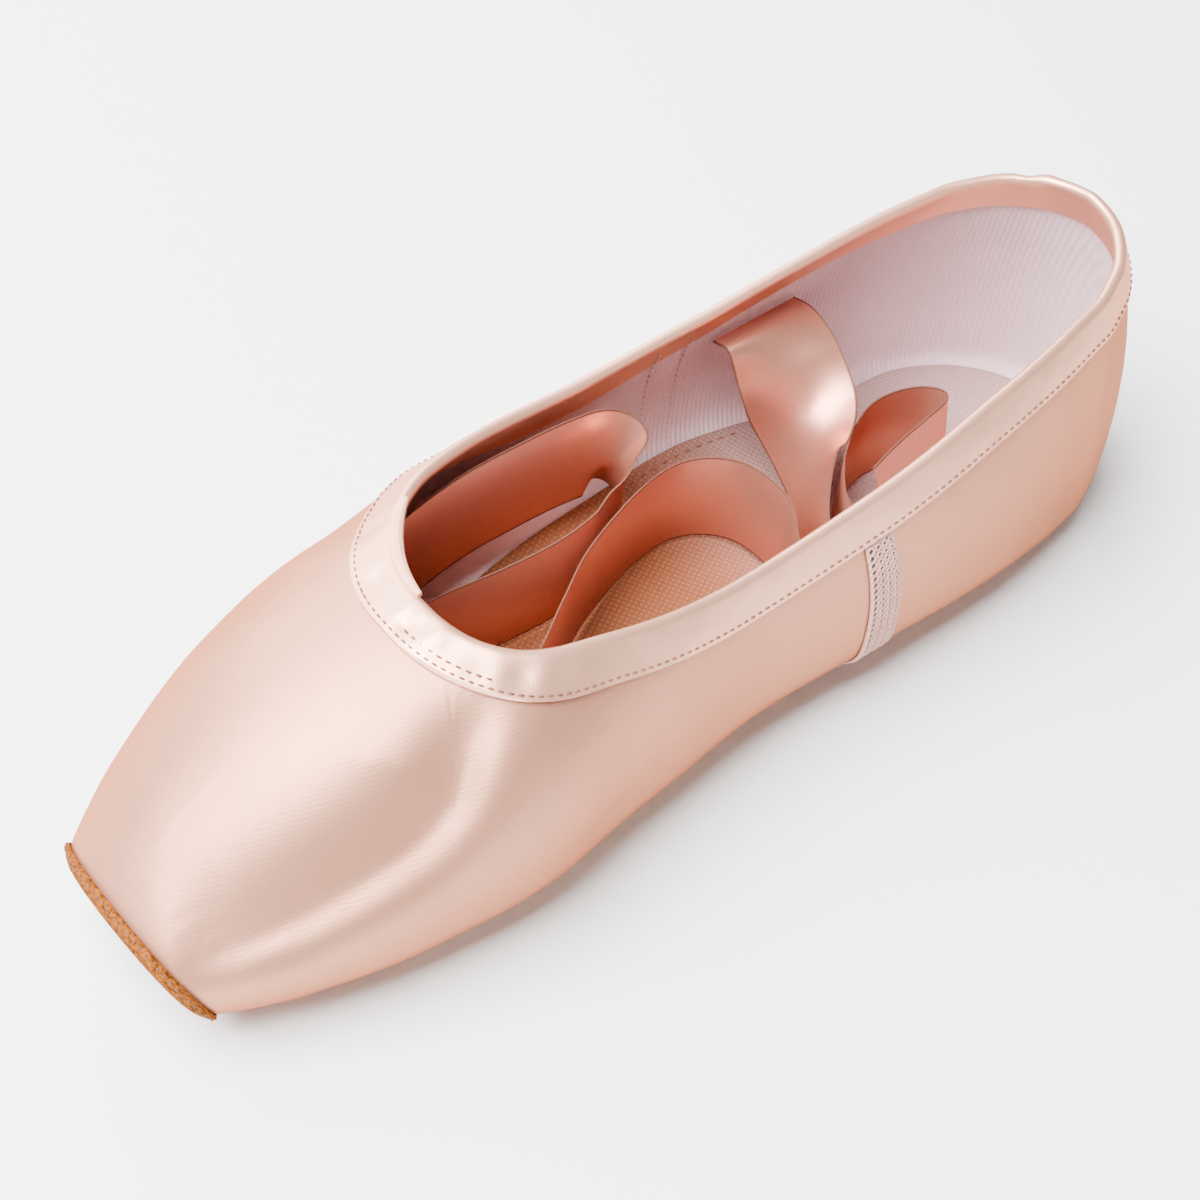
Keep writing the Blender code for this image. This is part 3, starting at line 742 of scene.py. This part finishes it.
class Surface(Nodes):
    """A Principled material and its nodes."""

    def __init__(self, name, **settings):
        self.material = bpy.data.materials.new(name)
        self.material.use_nodes = True
        super().__init__(self.material.node_tree)
        self.at = self.add("ShaderNodeTexCoord", out="Object")
        self.set(**settings)

    def set(self, **settings):
        """Values or wires for the shader's sockets, with _ for a space in a name."""
        shader = self.tree.nodes["Principled BSDF"]
        for key, value in settings.items():
            self.feed(shader.inputs[key.replace("_", " ")], value)

    def finish(self, color, height, distance, strength):
        """The material, with its color and its relief."""
        relief = self.add("ShaderNodeBump", Height=height, Distance=distance, Strength=strength)
        self.set(Base_Color=color, Normal=relief)
        return self.material

    def uv(self):
        return self.parts(self.add("ShaderNodeTexCoord", out="UV"))

    def facing(self, blend):
        return self.add("ShaderNodeLayerWeight", Blend=blend, out="Facing")

    def noise(self, scale, detail=2.0, roughness=0.5):
        looks = {"Scale": scale, "Detail": detail, "Roughness": roughness}
        return self.add("ShaderNodeTexNoise", Vector=self.at, out="Fac", **looks)

    def cells(self, scale):
        return self.add("ShaderNodeTexVoronoi", Vector=self.at, Scale=scale, out="Distance")

    def step(self, value, low, high):
        """0 below low, 1 above high, and smooth between."""
        soft = {"interpolation_type": "SMOOTHSTEP"}
        return self.add("ShaderNodeMapRange", soft, Value=value, From_Min=low, From_Max=high)

    def mix(self, factor, first, second):
        """The first color at factor 0 and the second at 1."""
        mixer = self.add("ShaderNodeMix", {"data_type": "RGBA"}, factor).socket.node
        self.feed(mixer.inputs[6], first)
        self.feed(mixer.inputs[7], second)
        return Wire(self, mixer.outputs[2])


def shade(color, factor):
    return tuple(min(1.0, channel * factor) for channel in color)


def satin_material(name, color, roughness, twill=1.0, glance_shade=1.0):
    """Satin with fine twill lines and a woven grain, and a painted sheen: the color deepens to a
    painted shade where the surface is seen at a glancing angle.
    """
    surface = Surface(name, Metallic=0.7, Specular_IOR_Level=0.7, Specular_Tint=SATIN_TINT)
    x, y, z = surface.parts(surface.at)
    lines = (x * -0.75 + y * 0.255 + z * 0.609).wave(sizes().twill_pitch)
    grain, cloudy = surface.noise(2600), surface.noise(26, 3)
    broken, uneven = surface.noise(420), surface.noise(60, 3)
    weave = lines * (0.04 * twill) + (grain * 0.36 + 0.10)
    base = surface.mix(weave, shade(color, 1.10), shade(color, 0.86))
    base = surface.mix(surface.step(cloudy, 0.35, 0.8) * 0.22, base, shade(color, 0.88))
    # Painted shade: the satin's sheen falling off, painted as a deeper color where the surface is
    # seen at a glancing angle
    base = surface.mix(surface.facing(0.5) ** 2.8 * glance_shade, base, colors().satin_glancing_shade)
    surface.set(Roughness=cloudy * 0.08 + (grain * 0.10 + (roughness - 0.09)))
    relief = lines * broken * (0.22 * twill) + grain + uneven * 8
    return surface.finish(base, relief, 0.00005, 0.5)


def lining_material():
    """Lilac lining: finely ribbed behind the mesh strip's seam and smooth before it."""
    surface = Surface("lining_fabric", Roughness=0.85, Sheen_Weight=0.25)
    x, y, _ = surface.parts(surface.at)
    behind = surface.step(y, 0.0260, 0.0270)
    ribs = (y * (2 * math.pi / 0.0013) + x * (2 * math.pi / 0.0022)).math("SINE")
    tone = colors().lining
    base = surface.mix(surface.noise(60, 3), shade(tone, 0.92), shade(tone, 1.12))
    base = surface.mix(behind * surface.step(ribs, -0.4, 1.0) * 0.22, base, shade(tone, 1.25))
    return surface.finish(base, ribs * behind * 0.8 + surface.noise(1800), 0.00012, 0.6)


def ribbon_material():
    """Glossy ribbon satin, full in the middle, with a darker edge that is partly its woven selvedge
    and partly painted shade on its lit thin sides, and painted shade where it is seen at a glancing
    angle.
    """
    surface = Surface("ribbon_satin", Metallic=0.8, Specular_Tint=SATIN_TINT)
    _, across, _ = surface.uv()
    edge = surface.step((across - 0.5).math("ABSOLUTE"), 0.476, 0.488)
    tone = colors().ribbon
    grain = surface.noise(2200)
    base = surface.mix(grain, shade(tone, 0.92), shade(tone, 1.08))
    # Painted shade: darker where the ribbon is seen at a glancing angle
    base = surface.mix(surface.facing(0.4) ** 2 * 0.35, base, shade(tone, 0.55))
    surface.set(Roughness=edge * 0.5 + (grain * 0.05 + 0.31))
    crown, threads = across * (1 - across), across.wave(1 / 60)
    relief = crown * 260 + threads * 0.3 + grain * 0.15
    # The edge band and the thin sides take a deep tone: partly the woven selvedge, partly painted
    # shade over the sides that catch the lamps
    return surface.finish(surface.mix(edge, base, shade(tone, 0.3)), relief, 0.00004, 0.5)


def suede_material():
    """Napped suede in tan with dark and pale flecks."""
    surface = Surface("suede", Roughness=0.95, Specular_IOR_Level=0.05)
    tone = colors().suede
    coarse = surface.noise(1100, 4, 0.7)
    flecks = ((0.38, shade(tone, 0.3)), (0.5, tone), (0.68, shade(tone, 1.6)))
    relief = coarse * 2 + surface.noise(2800)
    return surface.finish(surface.ramp(coarse, *flecks), relief, 0.0003, 0.9)


def sole_material():
    """Buffed sole leather, cloudy and finely pored."""
    surface = Surface("sole_leather", Roughness=0.72)
    tone = colors().sole
    cloudy = surface.noise(45, 5, 0.6)
    base = surface.mix(cloudy, shade(tone, 0.8), shade(tone, 1.2))
    pores = surface.step(surface.cells(1400), 0.05, 0.4)
    return surface.finish(base, cloudy * 2 + pores, 0.0001, 0.5)


def insole_material():
    """Beige insole fabric, paler towards the heel, with raised dots in rows."""
    surface = Surface("insole_fabric", Roughness=0.85, Specular_IOR_Level=0.15)
    x, y, _ = surface.parts(surface.at)
    pitch = 2 * sizes().dot_pitch
    dots = (x + y * 0.5).wave(pitch) * (y - x * 0.5).wave(pitch)
    dots = surface.step(dots.math("ABSOLUTE"), 0.30, 0.75)
    tone, heel = colors().insole, colors().insole_heel
    back = surface.step(y, 0.010, 0.075)
    base = surface.mix(surface.noise(50, 3), shade(tone, 0.92), shade(tone, 1.12))
    base = surface.mix(back, base, heel)
    low = surface.mix(back, shade(tone, 0.72), shade(heel, 0.86))
    relief = dots + surface.noise(1500) * 0.5
    return surface.finish(surface.mix(dots, low, base), relief, 0.00016, 0.8)


def knit_material():
    """Fine loops of pale thread, with painted shade in the gaps between them."""
    surface = Surface("mesh_knit", Roughness=0.8, Sheen_Weight=0.2)
    across, _, _ = surface.uv()
    # Strength of the painted gap shade: weaker along the strip's front edge
    depth = surface.step(across, 0.20, 0.32) * 0.35 + 0.45
    gap_shade = (1 - surface.step(surface.cells(900), 0.12, 0.34)) * depth
    tone = colors().knit
    base = surface.mix(surface.noise(900), shade(tone, 0.75), shade(tone, 1.5))
    # Painted shade: the gaps between the loops take a dark tone
    base = surface.mix(gap_shade, base, shade(tone, 0.25))
    return surface.finish(base, (1 - gap_shade) * 2 + surface.noise(1600), 0.0003, 0.8)


def thread_material(name, color):
    """Sewing thread or tape in one color with a twisted grain."""
    surface = Surface(name, Roughness=0.6)
    grain = surface.noise(3000)
    base = surface.mix(grain, shade(color, 0.8), shade(color, 1.2))
    return surface.finish(base, grain, 0.00006, 0.5)


# Pieces


def crease(obj, rows):
    """Soft trough or ridge along a line on both halves of the upper, fainter on the left."""
    at = np.linspace(rows[0][0], rows[-1][0], LINE_POINTS)
    turn, height, above, below = table_at(rows, at)
    spine = last_points(at, np.radians(turn))
    crownward = slopes(at, np.radians(turn))[1]
    points = read_points(obj)
    normals = np.empty(points.size)
    obj.data.vertex_normals.foreach_get("vector", normals)
    left = points[:, 0] < 0
    near = on_side(points, np.where(left, -1, 1))
    index, distance = nearest(near, spine)
    up = ((near - spine[index]) * crownward[index]).sum(1) > 0
    reach = np.where(up, above[index], below[index])
    shift = height[index] * np.exp(-((distance / reach) ** 2)) * np.where(left, LEFT_SHARE, 1)
    write_points(obj, points + normals.reshape(-1, 3) * shift[:, None])


def upper_shape(u, v):
    """Half of the upper's outer face: the platform, the toe, then column by column to the heel."""
    column = np.rint(u * UPPER_GRID[0]) - 1
    edge = share_of(column, 0, EDGE_COLUMNS)
    toe = share_of(column, EDGE_COLUMNS, TOE_COLUMNS)
    back = share_of(column, EDGE_COLUMNS + TOE_COLUMNS, COLLAR_COLUMNS)
    low_path, low_angle = opening_place(back)
    high_path, high_angle = collar_place(back)
    front = back <= 0
    low_path = np.where(front, EDGE_ROUND * edge + (OPENING_START - EDGE_ROUND) * toe, low_path)
    high_path = np.where(front, EDGE_ROUND * edge + (THROAT - EDGE_ROUND) * toe, high_path)
    low_angle = np.where(front, 0, low_angle)
    high_angle = np.where(front, math.pi, high_angle)
    path = low_path + (high_path - low_path) * v ** COLUMN_SWEEP
    angle = low_angle + (high_angle - low_angle) * v
    points = last_points(path, angle)
    pleated = share_of(path, PLEAT_START, 0.006) * share_of(path, PLEAT_END, -0.010)
    pleated = pleated * share_of(angle, PLEAT_ANGLE, -0.25)
    pleats = pleated * np.abs(np.cos(angle * PLEAT_COUNT)) ** 6
    seam = np.exp(-((points[:, 0] / SEAM_WIDTH) ** 2)) * (path > HEEL_CENTRE) * (v > 0.05)
    sunk = PLEAT_DEPTH * pleats + SEAM_DEPTH * seam
    points = points - normals_at(path, angle) * sunk[:, None]
    points[column < 0, 0] = 0
    return points


def tip_shape(u, v):
    """Half of the suede tip's outer face, from the middle of the platform over its edge."""
    column = np.rint(u * TIP_GRID[0]) - 1
    points = skin(PATCH_REACH * share_of(column, 0, TIP_GRID[0] - 1), math.pi * v, TIP_OUTWARD)
    points[column < 0, 0] = 0
    return points


def tape_frame(u):
    """Path and angle of the collar's edge, its outward normal and the way down the side from it."""
    path, angle = collar_place(u)
    ahead = last_points(*collar_place(u + 0.002)) - last_points(*collar_place(u - 0.002))
    normal = normals_at(path, angle)
    return path, angle, normal, unit(np.cross(ahead, normal))


def binding_shape(u, v):
    """Half of the tape's outer face: up the outside, over the rim and down the inside."""
    path, angle, normal, down = tape_frame(u)
    outside, rim = 0.42, 0.60
    inside = BINDING_INSIDE * (v - rim) / (1 - rim)
    depth = np.where(v < outside, BINDING_OUTSIDE * (1 - v / outside), inside)
    depth = np.where((v >= outside) & (v <= rim), 0, depth)
    run = u * 190
    slack = 0.3 + 0.5 * np.exp(-((u / 0.20) ** 2))
    waves = np.sin(0.75 * run + 260 * depth) + 0.7 * np.sin(0.31 * run - 320 * depth + 1.0)
    ripple = TAPE_RIPPLE * slack * waves
    ripple = ripple * np.sin(share_of(depth, 0, BINDING_OUTSIDE) * math.pi)
    thinned = COLLAR_THINNING + (1 - COLLAR_THINNING) * share_of(depth, 0, THINNING_DEPTH)
    inner = -WALL * thinned - BINDING_INNER
    outward = np.where(v < outside, BINDING_OUTER + ripple, inner - ripple)
    on_skin = skin(*walk(path, angle, down, depth), outward)
    top, low = BINDING_OUTER, -WALL * COLLAR_THINNING - BINDING_INNER
    roll = share_of(v, outside, rim - outside) * math.pi
    outward = (top + low) / 2 + (top - low) / 2 * np.cos(roll)
    lift = (BINDING_RIM * np.sin(roll))[:, None]
    lip = last_points(path, angle) + normal * outward[:, None] - down * lift
    return np.where(((v >= outside) & (v <= rim))[:, None], lip, on_skin)


def collar_line(depth, outward, start=-1.0, end=1.0, count=800):
    """Points and normals at a depth below the collar, between two fractions of it."""
    u = np.linspace(start, end, count)
    path, angle, _, down = tape_frame(np.maximum(np.abs(u), 1e-4))
    at = walk(path, angle, down, depth + 0 * u)
    side = np.sign(u)
    return swung(on_side(skin(*at, outward), side)), on_side(normals_at(*at), side)


def strip_place(u, v):
    """Path and angle on a knit strip, with v from its low end up to the binding."""
    path = MESH_FRONT + (MESH_WIDTH + MESH_SLANT * v) * u + MESH_BOW * np.sin(math.pi * v)
    fractions = np.linspace(0, 1, 2000)
    fraction = np.interp(path, collar_place(fractions)[0], fractions)
    down = np.zeros((len(path), 3)) - UP
    _, top = walk(*collar_place(fraction), down, BINDING_OUTSIDE + 0.0002 + 0 * path)
    return path, MESH_LOW_ANGLE + (top - MESH_LOW_ANGLE) * v


def strip_line(side, across, outward):
    """Points and normals up a knit strip at a share of its width."""
    v = np.linspace(0, 1, LINE_POINTS)
    at = strip_place(across + 0 * v, v)
    return swung(on_side(skin(*at, outward), side)), on_side(normals_at(*at), side)


def across_from(path, points):
    """Distance of points across from the path, which fans out round the heel."""
    station, turn, _ = along_last(path)
    beyond = points[:, 1] + ORIGIN_STATION - station
    return points[:, 0] * np.cos(turn) + beyond * np.sin(turn) * (turn > 0)


def underside(path, outward, short_of):
    """Points of the last's underside, moved outward, at the angle where short_of(points) ends."""
    low, high = np.zeros_like(path), np.full_like(path, math.pi / 2)
    for _ in range(24):
        middle = (low + high) / 2
        short = short_of(skin(path, middle, outward))
        low, high = np.where(short, middle, low), np.where(short, high, middle)
    return skin(path, low, outward)


def height_across(path, across, outward):
    """Height of the last's underside, moved outward, at a distance across from the path."""
    return underside(path, outward, lambda points: across_from(path, points) < across)[:, 2]


def width_at_height(path, height, outward):
    """Distance across at which the last's underside, moved outward, comes up to a height."""
    return across_from(path, underside(path, outward, lambda points: points[:, 2] < height))


def paths_from(start, u):
    """Paths from a rounded tip to the back of the heel, closest together at the tip."""
    return np.minimum(start + 0.00002 + (PATH_END - start) * bunched(u, 0.2), PATH_END)


def rounded_tip(path, start, length):
    """Share of the full width that a rounded tip leaves."""
    return np.sqrt(1 - (1 - share_of(path, start, length)) ** 2)


def sole_shape(u, v):
    """Half of the leather sole's section, from the middle underneath round the edge to the top."""
    path = paths_from(SOLE_START, u)
    half = table_at(SOLE, path)[0] * rounded_tip(path, SOLE_START, SOLE_TIP_ROUND)
    under, edge = 0.44, 0.56
    share = np.sin(share_of(np.where(v < 0.5, v, 1 - v), 0, under) * math.pi / 2)
    top = height_across(path, half * share, 0.0) - GAP
    middle = height_across(path, 0 * half, 0.0) - GAP
    rise = np.minimum(height_across(path, half, 0.0) - GAP - middle, SOLE_EDGE_RISE)
    bottom = middle - SOLE_THICKNESS + rise * share_of(share, SOLE_FLAT, 1 - SOLE_FLAT) ** 2
    turn = share_of(v, under, edge - under)
    height = np.where(v <= under, bottom, np.where(v >= edge, top, bottom + (top - bottom) * turn))
    bulge = SOLE_EDGE_BULGE * np.sin(turn * math.pi) * share_of(half, 0, 0.01)
    return place(path, half * share + bulge, height)


def insole_half(path):
    """Half width of the insole, whose edge climbs the wall."""
    edge = section_at(path)[1] + WALL + table_at(INSOLE_CUP, path)[0]
    half = width_at_height(path, edge, -WALL) - INSOLE_CLEARANCE
    return half * rounded_tip(path, INSOLE_START, INSOLE_TIP_ROUND)


def insole_at(path, share):
    """Points of the insole's face at shares of its half width, rounded down at its edge."""
    half = insole_half(path)
    height = height_across(path, half * share, -WALL) + INSOLE_SEAT
    crown = INSOLE_THICKNESS * (0.35 + 0.65 * np.sqrt(1 - share ** 10))
    return place(path, half * share, height + crown)


def insole_shape(u, v):
    return insole_at(paths_from(INSOLE_START, u), np.sin(v * math.pi / 2))


def insole_line(side):
    """Line of stitches along one side of the insole's face, with its normals."""
    path = np.linspace(INSOLE_START + 0.003, INSOLE_STITCHED, LINE_POINTS)
    points = insole_at(path, 1 - INSOLE_INSET / insole_half(path)) + 0.00012 * UP
    return swung(on_side(points, side)), UP + 0 * points


def ribbon_frames(rows, pieces):
    """Points along a ribbon's route and the direction of its upper edge at each."""
    rows = np.array(rows, float) * (0.001, 0.001, 0.001, 1)
    ends = np.concatenate([[2 * rows[0] - rows[1]], rows, [2 * rows[-1] - rows[-2]]])
    ends[0, 3], ends[-1, 3] = rows[0, 3], rows[-1, 3]
    t = (np.arange(pieces) / pieces)[None, :, None]
    a, b, c, d = (ends[i : len(rows) - 1 + i, None, :] for i in range(4))
    bend, twist = 2 * a - 5 * b + 4 * c - d, 3 * b - 3 * c + d - a
    curve = (2 * b + (c - a) * t + bend * t * t + twist * t ** 3) / 2
    route = np.concatenate([curve.reshape(-1, 4), rows[-1:]])
    heading = unit(np.gradient(route[:, :3], axis=0))
    level = unit(np.cross(heading, UP))
    upright = np.cross(level, heading)
    lean = np.radians(route[:, 3])[:, None]
    return route[:, :3], upright * np.cos(lean) + level * np.sin(lean)


def build_ribbon(name, rows, node):
    """One ribbon laid along its route."""
    route, edge = ribbon_frames(rows, RIBBON_PIECES)
    last = len(route) - 1
    width = sizes().ribbon_width

    def shape(u, v):
        i = np.rint(u * last).astype(int)
        return route[i] + edge[i] * ((v - 0.5) * width)[:, None]

    obj = grid_piece(name, (last, RIBBON_PIECES), shape)
    thicken(obj, RIBBON_THICKNESS, offset=0.0)
    hand_over(obj, ribbon_material(), node)


class ShoeOperator(bpy.types.Operator):
    """Base of the shoe's operators."""

    bl_options = {"REGISTER", "UNDO"}


class SHOE_OT_upper(ShoeOperator):
    """Build the satin upper with its lining"""

    bl_idname = "shoe.upper"
    bl_label = "Upper"

    def execute(self, context):
        obj = grid_piece("satin_upper", UPPER_GRID, upper_shape)
        obj.data.materials.append(satin_material("satin", colors().satin, 0.47))
        obj.data.materials.append(lining_material())
        both_sides(obj, (WING_TROUGH, WING_RIDGE))
        _, depth = nearest(read_points(obj), collar_line(0.0, 0.0)[0])
        group = obj.vertex_groups.new(name="wall")
        for index, weight in enumerate(share_of(depth, 0, THINNING_DEPTH).round(2)):
            group.add([index], float(weight), "REPLACE")
        thinned = {"vertex_group": group.name, "thickness_vertex_group": COLLAR_THINNING}
        thicken(obj, WALL, use_quality_normals=True, material_offset=1, **thinned)
        hand_over(obj, None, "upper")
        thread = thread_material("lining_thread", shade(colors().lining, 0.75))
        angle = np.linspace(MESH_LOW_ANGLE, INNER_SEAM_TOP, INNER_SEAM_POINTS)
        bow = MESH_BOW * np.sin(np.linspace(0, math.pi, INNER_SEAM_POINTS))
        for edge, path in (("front", MESH_FRONT), ("back", MESH_FRONT + MESH_WIDTH)):
            points = skin(path + bow, angle, -WALL - 0.00004)
            normals = -normals_at(path + bow, angle)
            for name, side in SIDES:
                line = swung(on_side(points, side)), on_side(normals, side)
                stitch_row(f"inner_seam_{edge}_{name}", line, thread)
        return {"FINISHED"}


class SHOE_OT_platform(ShoeOperator):
    """Build the suede tip and its stitches"""

    bl_idname = "shoe.platform"
    bl_label = "Suede tip"

    def execute(self, context):
        obj = grid_piece("suede_tip", TIP_GRID, tip_shape)
        both_sides(obj)
        thicken(obj, TIP_THICKNESS)
        hand_over(obj, suede_material(), "platform_patch")
        angle = np.linspace(math.radians(70), math.pi, 160)
        at = PATCH_REACH - 0.0003 + 0 * angle, angle
        halves = skin(*at, TIP_OUTWARD), normals_at(*at)
        points, normals = (np.concatenate([half, on_side(half, -1)[-2::-1]]) for half in halves)
        thread = thread_material("tip_thread", shade(colors().thread, 0.6))
        stitch_row("tip_stitches", (swung(points), normals), thread, TIP_STITCH)
        return {"FINISHED"}


class SHOE_OT_binding(ShoeOperator):
    """Build the tape round the collar with its stitches, piping and lip"""

    bl_idname = "shoe.binding"
    bl_label = "Binding"

    def execute(self, context):
        obj = grid_piece("collar_tape", TAPE_GRID, binding_shape)
        both_sides(obj)
        for fraction, depth, reach, shift in TAPE_PRESSES:
            centre, normal = collar_line(depth, BINDING_OUTER, fraction, fraction, 1)
            press(obj, centre[0], reach, normal[0] * shift)
        thicken(obj, FABRIC_THICKNESS, degrees=60)
        # The tape takes a quarter of the satin's painted glancing shade
        tape = satin_material("binding_satin", colors().binding, 0.36, twill=0.4, glance_shade=0.25)
        hand_over(obj, tape, "collar_binding")
        thread = thread_material("collar_thread", colors().thread)
        for name, above, ends, count in TAPE_STITCHES:
            line = collar_line(BINDING_OUTSIDE - above, BINDING_OUTER + 0.00008, *ends, count)
            stitch_row(name, line, thread)
        fold = thread_material("tape_fold", colors().binding)
        taper = np.sin(np.linspace(0.05, 0.95, 60) * math.pi) ** 0.5
        for name, depth, outward, ends, radius in TAPE_TUBES:
            points, _ = collar_line(depth, outward, *ends, len(taper))
            hand_over(tube(name, points, radius * taper), fold)
        return {"FINISHED"}


class SHOE_OT_side_mesh(ShoeOperator):
    """Build the knit strips down both sides"""

    bl_idname = "shoe.side_mesh"
    bl_label = "Mesh strips"

    def execute(self, context):
        knit = knit_material()
        rim = thread_material("knit_rim", shade(colors().knit, 1.5))
        # Painted shade in the pinholes: a near-black color for the discs laid in each hole
        pinhole_shade = thread_material("knit_pinhole_shade", shade(colors().knit, 0.10))
        piping = thread_material("piping", colors().piping)
        for name, side in SIDES:
            def shape(u, v):
                return swung(on_side(skin(*strip_place(u, v), MESH_FACE), side))

            obj = grid_piece("knit_" + name, KNIT_GRID, shape)
            if side < 0:
                obj.data.flip_normals()
            thicken(obj, MESH_THICKNESS)
            hand_over(obj, knit, "side_mesh_" + name)
            for edge, across in (("front", 0.0), ("back", 1.0)):
                points, _ = strip_line(side, across, 0.0003)
                cord = tube(f"strip_edge_{edge}_{name}", points, MESH_PIPING, 8)
                hand_over(cord, piping)
            rings, discs = [], []
            for across, radius in MESH_HOLES:
                points, normals = strip_line(side, across, MESH_FACE)
                count = int(steps_along(points).sum() / sizes().pinhole_pitch)
                for i in np.linspace(*HOLE_SPAN, count).astype(int):
                    heading = unit(points[i + 1] - points[i])
                    axes = np.stack([heading, np.cross(normals[i], heading), normals[i]]) * radius
                    rings.append((points[i], axes))
                    discs.append((points[i] + normals[i] * 0.00003, axes))
            ring = primitive("torus", major_segments=10, minor_segments=4, minor_radius=0.46)
            hand_over(copies("hole_rims_" + name, ring, rings), rim)
            # Discs of painted shade laid in the pinholes, just above the knit's face
            disc = primitive("cylinder", vertices=10, radius=0.8, depth=0.1)
            hand_over(copies("holes_" + name, disc, discs), pinhole_shade)
        return {"FINISHED"}


class SHOE_OT_sole(ShoeOperator):
    """Build the insole's fabric face with its stitches, and the leather sole"""

    bl_idname = "shoe.sole"
    bl_label = "Insole and outsole"

    def execute(self, context):
        obj = grid_piece("insole_face", INSOLE_GRID, insole_shape)
        obj.data.flip_normals()
        both_sides(obj)
        weld(obj)
        thicken(obj, FABRIC_THICKNESS)
        hand_over(obj, insole_material(), "insole")
        thread = thread_material("insole_thread", shade(colors().insole, 0.72))
        for name, side in SIDES:
            row = "insole_stitches_" + name
            stitch_row(row, insole_line(side), thread, INSOLE_STITCH)
        sole = grid_piece("leather_sole", SOLE_GRID, sole_shape)
        both_sides(sole)
        weld(sole, close=True)
        smooth(sole)
        hand_over(sole, sole_material(), "outsole")
        return {"FINISHED"}


class SHOE_OT_ribbons(ShoeOperator):
    """Lay both ribbons inside the shoe"""

    bl_idname = "shoe.ribbons"
    bl_label = "Ribbons"

    def execute(self, context):
        build_ribbon("satin_ribbon_far", RIBBON_FAR, "ribbon_far")
        build_ribbon("satin_ribbon_near", RIBBON_NEAR, "ribbon_near")
        return {"FINISHED"}


class SHOE_OT_stage(ShoeOperator):
    """Set up the floor, the surroundings, the lights and the camera"""

    bl_idname = "shoe.stage"
    bl_label = "Stage"

    def execute(self, context):
        floor = primitive("plane", size=8, location=(0, 0, 0))
        floor.name = "floor"
        paper = Surface("floor_paper", Roughness=0.9, Base_Color=colors().floor)
        floor.data.materials.append(paper.material)
        context.scene.world = studio_world()
        for light in LIGHTS:
            soft_light(*light)
        add_camera()
        return {"FINISHED"}


def studio_world():
    """Studio surroundings: bright low down, dim above, so that the satin shows folds."""
    world = bpy.data.worlds.new("studio")
    world.use_nodes = True
    sky = Nodes(world.node_tree)
    _, _, height = sky.parts(sky.add("ShaderNodeTexCoord", out="Generated"))
    glow = sky.ramp(height, *((at, (level,) * 3) for at, level in WORLD_LEVELS))
    sky.feed(world.node_tree.nodes["Background"].inputs["Color"], glow)
    return world


def soft_light(name, location, size, power):
    """Square area light that looks at the shoe."""
    select_only()
    bpy.ops.object.light_add(type="AREA", location=location)
    light = bpy.context.object
    light.name = name
    light.data.shape = "SQUARE"
    light.data.size = size
    light.data.energy = power
    aim = Vector(CAMERA_TARGET) - Vector(location)
    light.rotation_euler = aim.to_track_quat("-Z", "Y").to_euler()


def add_camera():
    """Camera at the photograph's angle, turned by its roll."""
    azimuth, elevation = math.radians(CAMERA_AZIMUTH), math.radians(CAMERA_ELEVATION)
    roll = math.radians(CAMERA_ROLL)
    reach = math.cos(elevation)
    back = Vector((math.sin(azimuth) * reach, -math.cos(azimuth) * reach, math.sin(elevation)))
    level = Vector((math.cos(azimuth), math.sin(azimuth), 0))
    upright = back.cross(level)
    right = level * math.cos(roll) + upright * math.sin(roll)
    up = upright * math.cos(roll) - level * math.sin(roll)
    camera = bpy.data.objects.new("camera", bpy.data.cameras.new("camera"))
    bpy.context.scene.collection.objects.link(camera)
    where = Vector(CAMERA_TARGET) + right * CAMERA_SHIFT[0] + up * CAMERA_SHIFT[1]
    where += back * CAMERA_DISTANCE
    turn = Matrix((right, up, back)).transposed().to_4x4()
    camera.matrix_world = Matrix.Translation(where) @ turn
    camera.data.sensor_width = 36
    camera.data.lens = CAMERA_LENS
    camera.data.clip_start = 0.01
    bpy.context.scene.camera = camera


class SHOE_PT_panel(bpy.types.Panel):
    """Panel that lists the shoe's pieces and settings"""

    bl_label = "Pointe Shoe"
    bl_idname = "SHOE_PT_panel"
    bl_space_type = "VIEW_3D"
    bl_region_type = "UI"
    bl_category = "Pointe Shoe"

    def draw(self, context):
        for operator in OPERATORS:
            self.layout.operator(operator.bl_idname)
        for group in (context.scene.shoe_sizes, context.scene.shoe_colors):
            for name in group.__annotations__:
                self.layout.prop(group, name)


OPERATORS = (
    SHOE_OT_stage,
    SHOE_OT_upper,
    SHOE_OT_platform,
    SHOE_OT_binding,
    SHOE_OT_side_mesh,
    SHOE_OT_sole,
    SHOE_OT_ribbons,
)
CLASSES = (ShoeSizes, ShoeColors, *OPERATORS, SHOE_PT_panel)


def register():
    for cls in CLASSES:
        bpy.utils.register_class(cls)
    bpy.types.Scene.shoe_sizes = PointerProperty(type=ShoeSizes)
    bpy.types.Scene.shoe_colors = PointerProperty(type=ShoeColors)


def unregister():
    del bpy.types.Scene.shoe_colors
    del bpy.types.Scene.shoe_sizes
    for cls in reversed(CLASSES):
        bpy.utils.unregister_class(cls)


def main():
    register()
    for operator in OPERATORS:
        group, name = operator.bl_idname.split(".")
        getattr(getattr(bpy.ops, group), name)()


if __name__ == "__main__":
    main()
